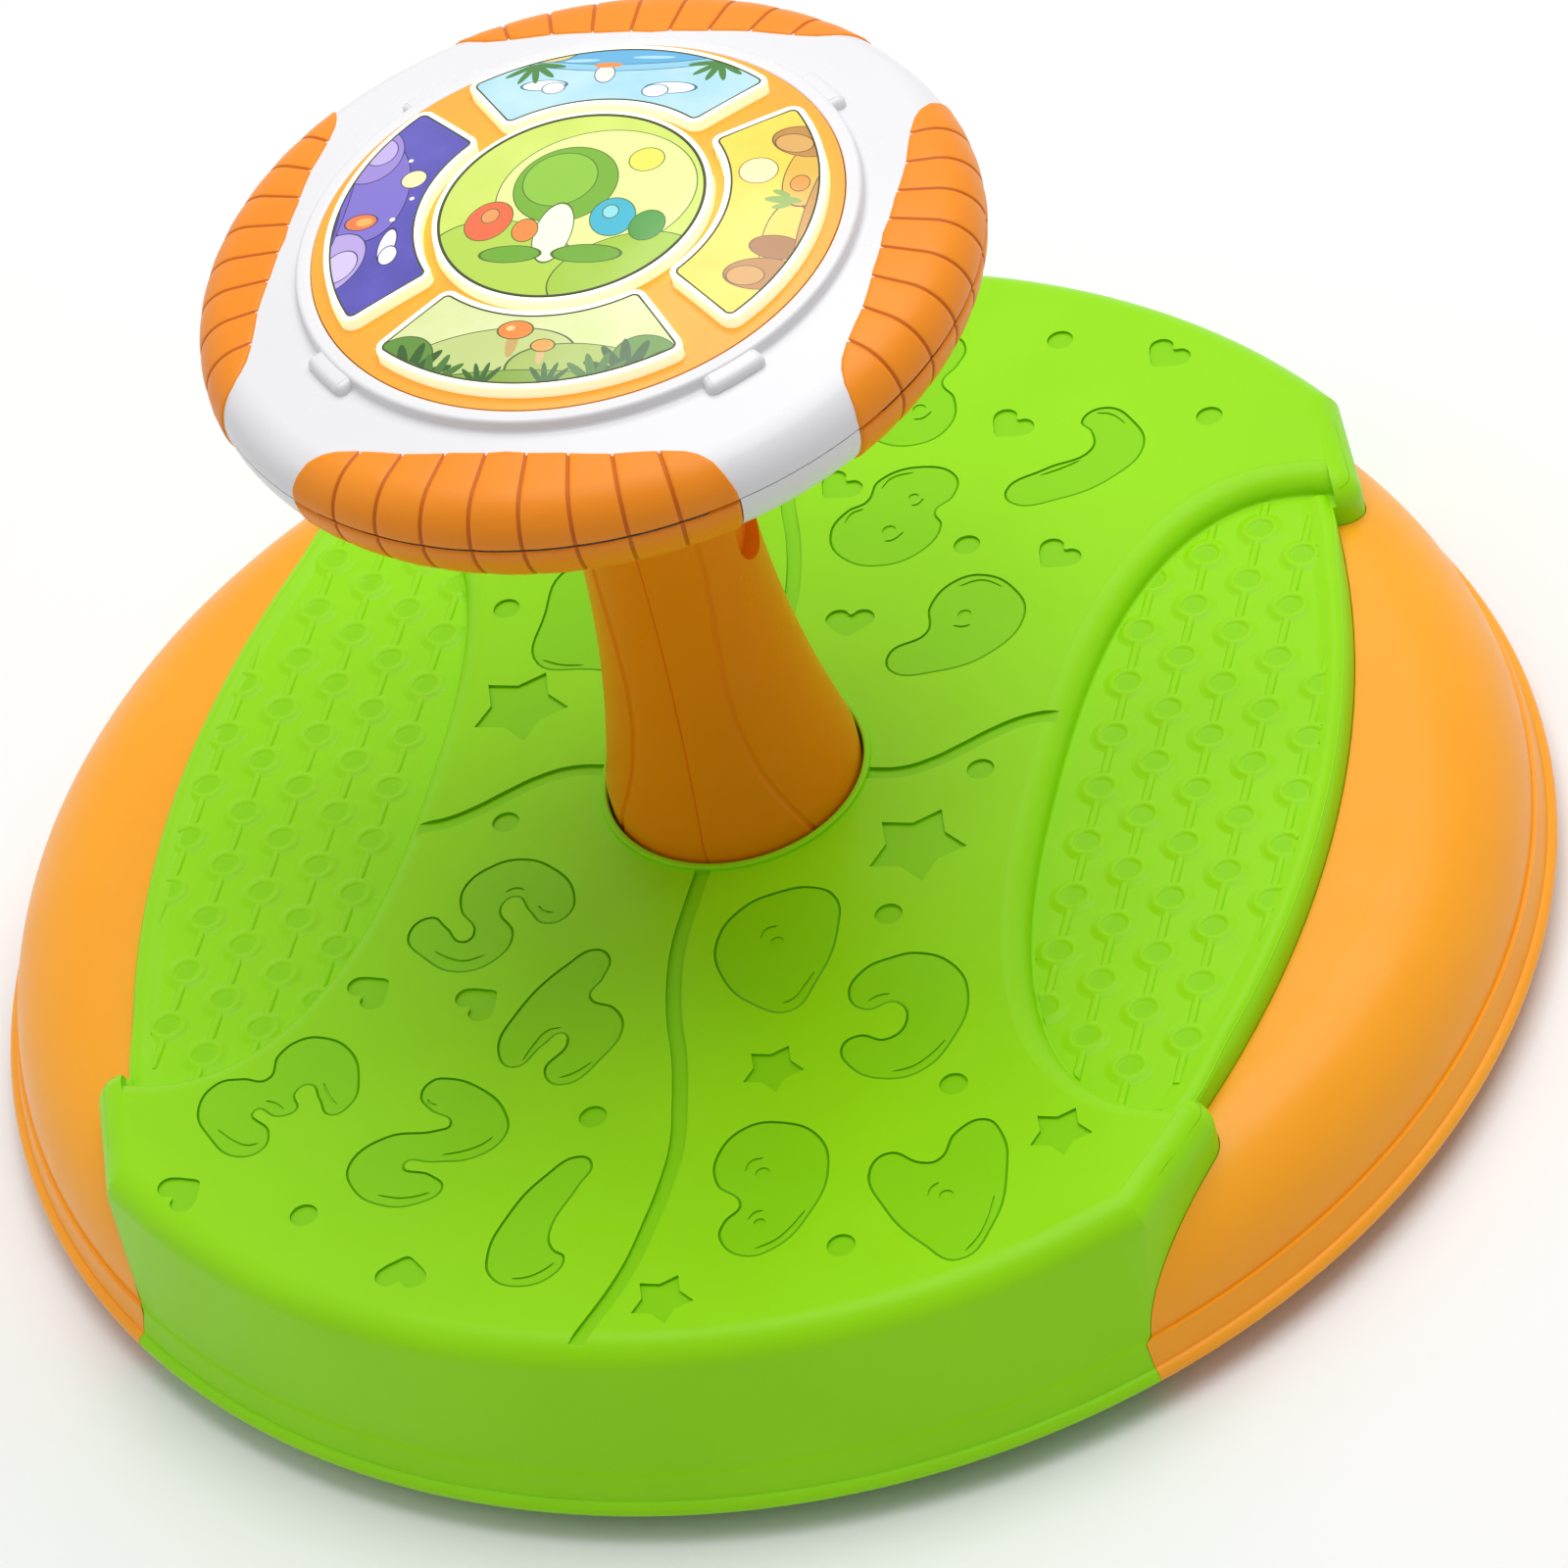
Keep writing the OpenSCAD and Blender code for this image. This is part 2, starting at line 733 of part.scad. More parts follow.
module wheel_upper() {
    color(white) difference() {
        union() {
            rotate_extrude() difference() {
                union() {
                    top_section(0);
                    translate([bezel_hole_r, wheel_h]) square([ring_w - ring_bead_r, ring_z - wheel_h]);
                    translate([bezel_hole_r, wheel_h]) square([ring_w, ring_z - ring_bead_r - wheel_h]);
                    translate([ring_r - ring_bead_r, ring_z - ring_bead_r]) circle(ring_bead_r);
                }
                top_section(-wheel_wall);
                square([bezel_hole_r - bezel_rim_t, 2 * ring_z]);
                translate([0, seat_z]) square([bezel_hole_r, ring_z]);
            }
            diagonals(0) rotate([0, 0, -lug_half]) rotate_extrude(angle = 2 * lug_half)
                translate([ring_r - weld, top_z(ring_r) - weld])
                    square([lug_w + weld, ring_h - lug_drop + weld]);
            at_wheel_screws() disc(boss_r, wheel_h, top_z(wheel_screw_circle) - wheel_wall / 2 - wheel_h);
        }
        at_wheel_screws() disc(screw_r, wheel_h - cut, wheel_screw_l - wheel_screw_drop + 2 * cut);
        sectors() grip_top_section(cut);
    }
}

module grips_lower() {
    color(orange) sectors() grip_low_section(grip_proud);
}

module grips_upper() {
    color(orange) sectors() grip_top_section(grip_proud);
}

module wheel_screws() {
    color(steel) at_wheel_screws() translate([0, 0, wheel_h - wheel_screw_drop])
        screw(screw_r, screw_head_r, screw_head_h, wheel_screw_l);
}

// The panel and its buttons
module arc_plan(g) {
    wedge_l = 2 * tile_out_r;
    module wedge(inset) {
        translate([inset / sin(tile_half), 0])
            polygon([[0, 0], wedge_l * [cos(tile_half), sin(tile_half)], [2 * wedge_l, 0],
                wedge_l * [cos(tile_half), -sin(tile_half)]]);
    }
    module band(outer, inner) {
        difference() {
            circle(outer);
            circle(inner);
        }
    }
    intersection() {
        band(tile_out_r + g, tile_in_r - g);
        wedge(tile_corner_r);
    }
    intersection() {
        band(tile_out_r - tile_corner_r, tile_in_r + tile_corner_r);
        wedge(-g);
    }
    for (r = [tile_in_r + tile_corner_r, tile_out_r - tile_corner_r], s = [-1, 1])
        rotate(s * (tile_half - asin(tile_corner_r / r))) translate([r, 0]) circle(tile_corner_r + g);
}

module tile_plan(side, g) {
    if (side < 0) circle(tile_hub_r + g);
    else rotate(90 * side) arc_plan(g);
}

module under_crown(lift) {
    intersection() {
        children();
        translate([0, 0, crown_top - crown_r + lift]) sphere(crown_r, $fn = 256);
    }
}

module tile(side) {
    high = crown_top + tile_proud + cut - flange_z;
    mid_r = side < 0 ? 0 : tile_mid_r;
    color("#fdf6ea") difference() {
        union() {
            difference() {
                union() {
                    under_crown(tile_proud) translate([0, 0, flange_z])
                        linear_extrude(high) tile_plan(side, 0);
                    translate([0, 0, flange_z]) linear_extrude(flange_t) tile_plan(side, flange_w);
                }
                under_crown(tile_proud - tile_top_t) translate([0, 0, flange_z - cut])
                    linear_extrude(high) tile_plan(side, -tile_wall);
            }
            rotate([0, 0, 90 * side]) translate([mid_r, 0, 0])
                under_plunger(mid_r);
        }
        label_body(side, cut);
    }
}

// Post under a button that meets its rubber dome
module under_plunger(mid_r) {
    top = crown_top - crown_drop(mid_r) + tile_proud - tile_top_t;
    disc(plunger_r, board_z + dome_h, top + weld - board_z - dome_h);
}

module label_body(side, over) {
    high = crown_top + tile_proud + cut - flange_z;
    difference() {
        under_crown(tile_proud + over) translate([0, 0, flange_z])
            linear_extrude(high + 2 * over) tile_plan(side, -label_margin);
        under_crown(tile_proud - label_t) translate([0, 0, flange_z - cut])
            linear_extrude(high + 2 * over) tile_plan(side, 0);
    }
}

module label(side) {
    color("#bfe05a") label_body(side, 0);
}

module dome(side) {
    mid_r = side < 0 ? 0 : tile_mid_r;
    color("#d8d8d2") rotate([0, 0, 90 * side]) translate([mid_r, 0, board_z])
        cylinder(r1 = dome_r, r2 = dome_top_r, h = dome_h);
}

module bezel() {
    high = crown_top - seat_z;
    color(orange) difference() {
        under_crown(0) disc(bezel_r, seat_z, high);
        under_crown(-bezel_t) disc(bezel_r - bezel_rim_t, seat_z - cut, high);
        for (side = [-1 : 3]) translate([0, 0, seat_z]) linear_extrude(2 * high) tile_plan(side, tile_play);
    }
}

// The five buttons by where they lie
module dome_centre() {
    dome(-1);
}

module dome_right() {
    dome(0);
}

module dome_back() {
    dome(1);
}

module dome_left() {
    dome(2);
}

module dome_front() {
    dome(3);
}

module tile_centre() {
    tile(-1);
}

module tile_right() {
    tile(0);
}

module tile_back() {
    tile(1);
}

module tile_left() {
    tile(2);
}

module tile_front() {
    tile(3);
}

module label_centre() {
    label(-1);
}

module label_right() {
    label(0);
}

module label_back() {
    label(1);
}

module label_left() {
    label(2);
}

module label_front() {
    label(3);
}

// Electronics in the wheel
module circuit_board() {
    color("#2f7d4a") difference() {
        disc(board_r, board_z - board_t, board_t);
        at_posts() disc(screw_r, board_z - board_t - cut, board_t + 2 * cut);
    }
}

module board_screws() {
    color(steel) at_posts() translate([0, 0, board_z]) rotate([180, 0, 0])
        screw(screw_r, post_r, screw_head_h, board_screw_l);
}

module leds() {
    color("#f6e7a8") {
        for (i = [0 : 3], s = [-1, 1]) rotate([0, 0, 90 * i + s * led_angle])
            translate([tile_mid_r, 0, 0]) disc(led_r, board_z, led_h);
        ring_of(led_count, tile_hub_r * led_hub_share) disc(led_r, board_z, led_h);
    }
}

module speaker() {
    color("#303234") translate([0, -speaker_y, 0]) {
        disc(speaker_r, floor_z, speaker_frame_t);
        disc(speaker_magnet_r, floor_z, speaker_frame_t + speaker_magnet_h);
    }
}

module at_cells() {
    for (i = [0 : cell_count - 1])
        translate([0, box_y + (i - (cell_count - 1) / 2) * (cell_d + cell_gap),
            floor_z + cell_play + cell_d / 2])
            rotate([0, 90, 180 * i]) children();
}

module battery_cells() {
    color("#3b6fb0") at_cells() {
        translate([0, 0, -(cell_l + nub_l) / 2]) cylinder(d = cell_d, h = cell_l);
        translate([0, 0, (cell_l - nub_l) / 2 - weld]) cylinder(r = nub_r, h = nub_l + weld);
    }
}

module battery_contacts() {
    plate_w = cell_d - cell_gap;
    color(steel) at_cells() for (s = [0, 180]) rotate([s, 0, 0]) {
        translate([-plate_w / 2, -plate_w / 2, box_l / 2 - contact_t]) cube([plate_w, plate_w, contact_t]);
        translate([0, 0, box_l / 2 - contact_t - contact_reach])
            cylinder(r = nub_r, h = contact_reach + contact_t);
    }
}

module battery_door() {
    color(white) battery_place() difference() {
        translate([0, 0, wheel_z]) linear_extrude(wheel_wall) door_plan(door_rebate - door_gap);
        translate([0, box_w / 2 + ear_screw_in, 0]) {
            disc(door_head_r + door_gap, wheel_z - cut, door_sink + cut);
            disc(door_screw_r + door_gap, wheel_z, wheel_wall + cut);
        }
    }
}

module door_screw() {
    color(steel) battery_place() translate([0, box_w / 2 + ear_screw_in, wheel_z + door_sink])
        screw(door_screw_r, door_head_r, door_head_h, door_screw_l);
}

module switch_case() {
    inner_l = slide_l + switch_travel + 2 * knob_play;
    inner_w = slide_w + 2 * knob_play;
    color(grey) translate([switch_x, 0, 0]) difference() {
        block(inner_l + 2 * case_wall, inner_w + 2 * case_wall, floor_z, case_h);
        block(inner_l, inner_w, floor_z - cut, case_h - case_wall + cut);
    }
}

module switch_slider() {
    color("#1f2022") translate([switch_x - switch_travel / 2, 0, 0]) {
        block(knob_l, knob_w, wheel_z - knob_out, wheel_wall + knob_out + knob_play + weld);
        block(slide_l, slide_w, floor_z + knob_play, slide_t);
    }
}

// The seat: deck, side covers and what carries them
module deck_hollow() {
    difference() {
        rotate_extrude() hollow_section(deck_h, deck_edge_r);
        both_sides() {
            translate([0, 0, tab_z]) linear_extrude(deck_h) cover_plan(seat_wall);
            translate([0, 0, rest_z - seat_wall]) linear_extrude(deck_h) rest_plan(seat_wall);
        }
    }
}

module cover_tabs() {
    for (a = cover_boss_angles) rotate([0, 0, a]) translate([cover_boss_r, 0, 0]) {
        tab_l = cover_boss_r - rest_reach(a) + seat_wall;
        difference() {
            union() {
                disc(tab_w / 2, tab_z, tab_t);
                translate([-tab_l, -tab_w / 2, tab_z]) cube([tab_l, tab_w, tab_t]);
            }
            disc(screw_hole_r, tab_z - cut, tab_t + 2 * cut);
        }
    }
}

module deck() {
    plate_mid = deck_h - seat_wall / 2;
    rib_l = lip_r - deck_rib_in - collar_r + weld;
    color(green) {
        difference() {
            union() {
                difference() {
                    rotate_extrude() seat_section(deck_h, deck_edge_r);
                    deck_hollow();
                }
                disc(collar_r, shelf_z - shelf_t, deck_h + collar_h - shelf_z + shelf_t);
                disc(bush_r + sleeve_wall, sleeve_z, shelf_z - sleeve_z);
                tube(race_r + race_rib_w / 2, race_r - race_rib_w / 2, race_rib_z, plate_mid - race_rib_z);
                ring_of(deck_rib_count, collar_r - weld + rib_l / 2)
                    block(rib_l, deck_rib_t, plate_mid - deck_rib_h, deck_rib_h);
            }
            disc(well_r, shelf_z, well_depth + collar_h + cut);
            disc(bush_r, sleeve_z - cut, shelf_z);
            both_sides() {
                linear_extrude(2 * deck_h) cover_plan(0);
                translate([0, 0, rest_z]) linear_extrude(deck_h) rest_plan(0);
            }
        }
        both_sides() cover_tabs();
    }
}

module cover() {
    color(orange) difference() {
        union() {
            difference() {
                intersection() {
                    rotate_extrude() seat_section(cover_h, cover_edge_r);
                    linear_extrude(deck_h) cover_plan(-cover_gap);
                }
                rotate_extrude() hollow_section(cover_h, cover_edge_r);
            }
            at_cover_bosses() disc(boss_r, tab_z + tab_t, cover_h - seat_wall / 2 - tab_z - tab_t);
        }
        at_cover_bosses() disc(screw_r, tab_z, cover_screw_l + cut);
    }
}

module cover_right() {
    cover();
}

module cover_left() {
    rotate([0, 0, 180]) cover();
}

module cover_screws() {
    color(steel) both_sides() at_cover_bosses() translate([0, 0, tab_z])
        screw(screw_r, screw_head_r, screw_head_h, cover_screw_l);
}

module hub_bush() {
    color("#e9e6dc") {
        tube(bush_r, bush_in_r, sleeve_z, shelf_z + bush_flange_t - sleeve_z);
        tube(bush_flange_r, bush_in_r, shelf_z, bush_flange_t);
    }
}

base_plate();
base_feet();
lower_race();
base_screws();
column_left();
column_right();
stem_screws();
wheel_lower();
wheel_upper();
grips_lower();
grips_upper();
wheel_screws();
bezel();
circuit_board();
board_screws();
leds();
speaker();
battery_cells();
battery_contacts();
battery_door();
door_screw();
switch_case();
switch_slider();
dome_centre();
dome_right();
dome_back();
dome_left();
dome_front();
deck();
cover_left();
cover_right();
cover_screws();
hub_bush();
upper_race();
ball_cage();
thrust_balls();
tile_centre();
tile_right();
tile_back();
tile_left();
tile_front();
label_centre();
label_right();
label_back();
label_left();
label_front();
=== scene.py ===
import bpy
import bmesh
from math import acos, asin, atan2, copysign, cos, degrees, hypot, pi, radians, sin, sqrt, tan
from mathutils import Matrix, Vector


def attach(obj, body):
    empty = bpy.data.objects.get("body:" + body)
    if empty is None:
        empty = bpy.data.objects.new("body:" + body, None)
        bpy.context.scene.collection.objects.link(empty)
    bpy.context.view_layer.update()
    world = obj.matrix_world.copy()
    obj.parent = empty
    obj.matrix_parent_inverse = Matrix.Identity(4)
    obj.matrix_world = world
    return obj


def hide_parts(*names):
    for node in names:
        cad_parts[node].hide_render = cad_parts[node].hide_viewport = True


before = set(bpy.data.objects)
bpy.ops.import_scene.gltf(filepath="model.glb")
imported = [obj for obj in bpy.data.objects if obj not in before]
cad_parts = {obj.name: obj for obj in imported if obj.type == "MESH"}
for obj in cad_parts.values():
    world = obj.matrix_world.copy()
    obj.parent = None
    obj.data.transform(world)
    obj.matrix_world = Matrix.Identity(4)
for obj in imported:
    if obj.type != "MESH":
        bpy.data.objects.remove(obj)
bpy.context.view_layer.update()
mm = 0.001
scene = bpy.context.scene

# camera where the photograph was taken, leaning a little
shot = {"eye": (633.5, -1436.2, 1534.8), "aim": (11.12, 4.90, 54.06), "lean": -15.85, "view": 11.70}


def setCamera():
    eye = Vector(shot["eye"]) * mm
    ahead = (Vector(shot["aim"]) * mm - eye).normalized()
    side = ahead.cross(Vector((0, 0, 1))).normalized()
    above = side.cross(ahead)
    lean = radians(shot["lean"])
    sideLean = side * cos(lean) + above * sin(lean)
    aboveLean = above * cos(lean) - side * sin(lean)
    data = bpy.data.cameras.new("photoView")
    data.angle = radians(shot["view"])
    data.clip_end = 50.0
    camera = bpy.data.objects.new("photoView", data)
    scene.collection.objects.link(camera)
    turn = Matrix((sideLean, aboveLean, -ahead)).transposed()
    camera.matrix_world = Matrix.Translation(eye) @ turn.to_4x4()
    scene.camera = camera


setCamera()
print("camera set")


# mesh helpers
def arcPoints(cx, cy, radius, start, stop, count):
    step = (stop - start) / (count - 1)
    turns = [radians(start + step * i) for i in range(count)]
    return [(cx + radius * cos(t), cy + radius * sin(t)) for t in turns]


def makeObject(bm, name):
    mesh = bpy.data.meshes.new(name)
    bm.to_mesh(mesh)
    bm.free()
    obj = bpy.data.objects.new(name, mesh)
    scene.collection.objects.link(obj)
    return obj


def alignFaces(bm):
    bmesh.ops.recalc_face_normals(bm, faces=bm.faces)


def spinProfile(points, steps, closed=False):
    bm = bmesh.new()
    verts = [bm.verts.new((r * mm, 0, z * mm)) for r, z in points]
    edges = [bm.edges.new(pair) for pair in zip(verts, verts[1:])]
    if closed:
        edges.append(bm.edges.new((verts[-1], verts[0])))
    bmesh.ops.spin(bm, geom=verts + edges, cent=(0, 0, 0), axis=(0, 0, 1), angle=2 * pi,
                   steps=steps, use_merge=True)
    bmesh.ops.remove_doubles(bm, verts=bm.verts, dist=1e-6)
    alignFaces(bm)
    return bm


def flatten(bm, z):
    flat = [f for f in bm.faces if all(abs(v.co.z - z * mm) < 1e-6 for v in f.verts)]
    bmesh.ops.dissolve_faces(bm, faces=flat)


# a block through outlines at rising levels, each with the same number of points
def stackLoops(bm, outlines):
    rings = []
    for outline, z in outlines:
        verts = [bm.verts.new((x * mm, y * mm, z * mm)) for x, y in outline]
        rings.append([bm.edges.new((verts[i - 1], verts[i])) for i in range(len(verts))])
    for low, high in zip(rings, rings[1:]):
        bmesh.ops.bridge_loops(bm, edges=low + high)
    bmesh.ops.contextual_create(bm, geom=rings[0])
    bmesh.ops.contextual_create(bm, geom=rings[-1])


def blockFrom(outlines):
    bm = bmesh.new()
    stackLoops(bm, outlines)
    alignFaces(bm)
    return bm


def addTo(bm, other):
    piece = bpy.data.meshes.new("part")
    other.to_mesh(piece)
    other.free()
    bm.from_mesh(piece)
    bpy.data.meshes.remove(piece)


def fillHoles(bm):
    bmesh.ops.holes_fill(bm, edges=[e for e in bm.edges if e.is_boundary])


def triangles(obj):
    bm = bmesh.new()
    bm.from_mesh(obj.data)
    bmesh.ops.triangulate(bm, faces=bm.faces)
    bm.to_mesh(obj.data)
    bm.free()


def carve(target, cutter, operation="DIFFERENCE"):
    triangles(target)
    triangles(cutter)
    cut = target.modifiers.new("carve", "BOOLEAN")
    cut.object = cutter
    cut.operation = operation
    cut.solver = "MANIFOLD"
    deps = bpy.context.evaluated_depsgraph_get()
    carved = bpy.data.meshes.new_from_object(target.evaluated_get(deps))
    target.modifiers.clear()
    target.data = carved
    bpy.data.objects.remove(cutter)


def settle(obj, angle, weighted):
    for face in obj.data.polygons:
        face.use_smooth = True
    obj.data.set_sharp_from_angle(angle=radians(angle))
    if weighted:
        faces = obj.modifiers.new("flatFaces", "WEIGHTED_NORMAL")
        faces.keep_sharp = True


# a grid whose columns and rows are laid out by the piece that uses it
def mapGrid(columns, rows, place):
    bm = bmesh.new()
    bmesh.ops.create_grid(bm, x_segments=columns - 1, y_segments=rows - 1, size=1.0)
    for v in bm.verts:
        column = round((v.co.x + 1) / 2 * (columns - 1))
        row = round((v.co.y + 1) / 2 * (rows - 1))
        v.co = Vector(place(column, row)) * mm
    return bm


# mesh of a curve; the curve's own object goes
def meshFrom(curve):
    holder = bpy.data.objects.new(curve.name, curve)
    scene.collection.objects.link(holder)
    deps = bpy.context.evaluated_depsgraph_get()
    mesh = bpy.data.meshes.new_from_object(holder.evaluated_get(deps))
    bpy.data.objects.remove(holder)
    return mesh


# how far each face shows the finish's sunk colour, a painted shade, from 0 to 1
def markPaintedShade(obj, share):
    mark = obj.data.attributes.new("sunk", "FLOAT", "FACE")
    for face in obj.data.polygons:
        mark.data[face.index].value = share(face)


def sideName(side):
    return "Right" if side > 0 else "Left"


def clamp(value):
    return min(max(value, 0.0), 1.0)


def dress(obj, body, slotName, *nodes, finish=None, angle=32.0, weighted=True):
    settle(obj, angle, weighted)
    obj.data.materials.clear()
    obj.data.materials.append(finish or finishes[slotName])
    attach(obj, body)
    if nodes:
        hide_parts(*nodes)


# finishes
def linear(hexColour):
    parts = [int(hexColour[i:i + 2], 16) / 255 for i in (1, 3, 5)]
    return [p / 12.92 if p <= 0.04045 else ((p + 0.055) / 1.055) ** 2.4 for p in parts] + [1.0]


# each input takes a value, or a link from another node's output
def feed(tree, made, inputs):
    for socket, value in inputs.items():
        if isinstance(value, bpy.types.NodeSocket):
            tree.links.new(value, made.inputs[socket])
        else:
            made.inputs[socket].default_value = value


def node(tree, kind, inputs, **settings):
    made = tree.nodes.new(kind)
    for key, value in settings.items():
        setattr(made, key, value)
    feed(tree, made, inputs)
    return made


def noise(tree, place, scale, detail=2.0, rough=0.5):
    inputs = {"Vector": place, "Scale": scale, "Detail": detail, "Roughness": rough}
    return node(tree, "ShaderNodeTexNoise", inputs).outputs["Fac"]


# the noise's middle range, stretched from low to high
def between(tree, value, low, high):
    inputs = {"Value": value, "From Min": 0.3, "From Max": 0.7, "To Min": low, "To Max": high}
    return node(tree, "ShaderNodeMapRange", inputs).outputs["Result"]


def mixColour(tree, factor, first, second):
    return node(tree, "ShaderNodeMix", {0: factor, 6: first, 7: second}, data_type="RGBA").outputs[2]


def startFinish(name):
    finish = bpy.data.materials.new(name)
    finish.use_nodes = True
    tree = finish.node_tree
    coords = node(tree, "ShaderNodeTexCoord", {})
    return finish, tree, tree.nodes["Principled BSDF"], coords.outputs["Object"]


def grainBump(tree, height, strength):
    inputs = {"Strength": strength, "Distance": 0.0002, "Height": height}
    return node(tree, "ShaderNodeBump", inputs).outputs["Normal"]


plastic = {"driftScale": 16.0, "patchScale": 60.0, "grainScale": 1400.0, "specular": 0.4}


# moulded plastic: slow drift of colour, patchy gloss, fine mould grain
def mouldedPlastic(look):
    finish, tree, shader, place = startFinish(look["name"])
    drift = between(tree, noise(tree, place, plastic["driftScale"], 3.0), 0.0, 1.0)
    colour = mixColour(tree, drift, linear(look["colour"]), linear(look["drift"]))
    # painted shade: faces marked sunk take the darker sunk colour
    if "sunk" in look:
        sunk = node(tree, "ShaderNodeAttribute", {}, attribute_name="sunk")
        colour = mixColour(tree, sunk.outputs["Fac"], colour, linear(look["sunk"]))
    patches = noise(tree, place, plastic["patchScale"], 4.0, 0.6)
    grain = noise(tree, place, plastic["grainScale"], 3.0, 0.6)
    feed(tree, shader, {"Base Color": colour, "Roughness": between(tree, patches, *look["rough"]),
                        "Normal": grainBump(tree, grain, look["grain"]),
                        "Specular IOR Level": look.get("specular", plastic["specular"])})
    if "metal" in look:
        feed(tree, shader, {"Metallic": look["metal"]})
    if "glow" in look:
        feed(tree, shader, {"Emission Color": linear(look["glow"]),
                            "Emission Strength": look["glowStrength"]})
    return finish


# looks by slot; column, bezel and ink stand for part of a slot
looks = {
    # the sunk colours of the green and grip plastics are painted shade for recesses, cup floors and rib
    # channels
    "green_plastic": {"name": "greenPlastic", "colour": "#98e30e", "drift": "#93dd09", "sunk": "#6cbe00",
                      "rough": (0.30, 0.40), "grain": 0.10, "specular": 0.16},
    "orange_plastic": {"name": "orangePlastic", "colour": "#ffab24", "drift": "#fea51c",
                       "rough": (0.28, 0.38), "grain": 0.10, "specular": 0.26},
    # the column's darker orange is painted shade for the shadow under the wheel, on the same orange plastic
    # as the covers
    "column": {"name": "columnPlastic", "colour": "#ff8c00", "drift": "#f88600",
               "rough": (0.26, 0.36), "grain": 0.10, "specular": 0.25},
    "grip_plastic": {"name": "gripPlastic", "colour": "#f5911c", "drift": "#f08a15", "sunk": "#cc680e",
                     "rough": (0.34, 0.44), "grain": 0.16, "specular": 0.25},
    "white_plastic": {"name": "whitePlastic", "colour": "#e6e6e9", "drift": "#e3e3e6",
                      "rough": (0.25, 0.28), "grain": 0.03},
    "bezel": {"name": "bezelPlastic", "colour": "#ffab33", "drift": "#ffa62b",
              "rough": (0.22, 0.32), "grain": 0.06},
    "tile_clear": {"name": "litTile", "colour": "#fffbee", "drift": "#fff8e2",
                   "rough": (0.12, 0.20), "grain": 0.04, "glow": "#ffe9b4", "glowStrength": 0.55},
    "ink": {"name": "printedLine", "colour": "#3d4a1e", "drift": "#354218",
            "rough": (0.20, 0.30), "grain": 0.05},
    "base_plastic": {"name": "basePlastic", "colour": "#4c4f52", "drift": "#45484b",
                     "rough": (0.45, 0.60), "grain": 0.25},
    "foot_rubber": {"name": "footRubber", "colour": "#2a2b2c", "drift": "#242526",
                    "rough": (0.70, 0.85), "grain": 0.35},
    "steel": {"name": "brightSteel", "colour": "#c3c6c9", "drift": "#b4b8bc",
              "rough": (0.22, 0.38), "grain": 0.05, "metal": 1.0},
    "bush_nylon": {"name": "bushNylon", "colour": "#e9e4d6", "drift": "#e1dbca",
                   "rough": (0.35, 0.50), "grain": 0.15},
    "board_laminate": {"name": "boardLaminate", "colour": "#1f6a3c", "drift": "#1a5c33",
                       "rough": (0.35, 0.50), "grain": 0.10},
    "led_lens": {"name": "ledLens", "colour": "#fff4d8", "drift": "#ffecc0",
                 "rough": (0.08, 0.15), "grain": 0.02},
    "speaker_black": {"name": "speakerBlack", "colour": "#202122", "drift": "#1a1b1c",
                      "rough": (0.45, 0.60), "grain": 0.20},
    "switch_black": {"name": "switchBlack", "colour": "#202122", "drift": "#1a1b1c",
                     "rough": (0.45, 0.60), "grain": 0.20},
    "cell_jacket": {"name": "cellJacket", "colour": "#3c4650", "drift": "#343d46",
                    "rough": (0.28, 0.40), "grain": 0.05},
    "dome_rubber": {"name": "domeRubber", "colour": "#d9d4c8", "drift": "#cec8ba",
                    "rough": (0.55, 0.70), "grain": 0.20},
}
finishes = {slot: mouldedPlastic(look) for slot, look in looks.items()}
print("finishes ready")


# panel pictures: plain landscapes of rounded shapes, upright for someone who looks towards the middle
def fan(shade, across, reach, length, wide, turns):
    shapes = []
    for turn in turns:
        lean = radians(turn)
        foot = across - length * sin(lean), reach - length * cos(lean)
        shapes.append((shade, *foot, wide, length, turn))
    return shapes


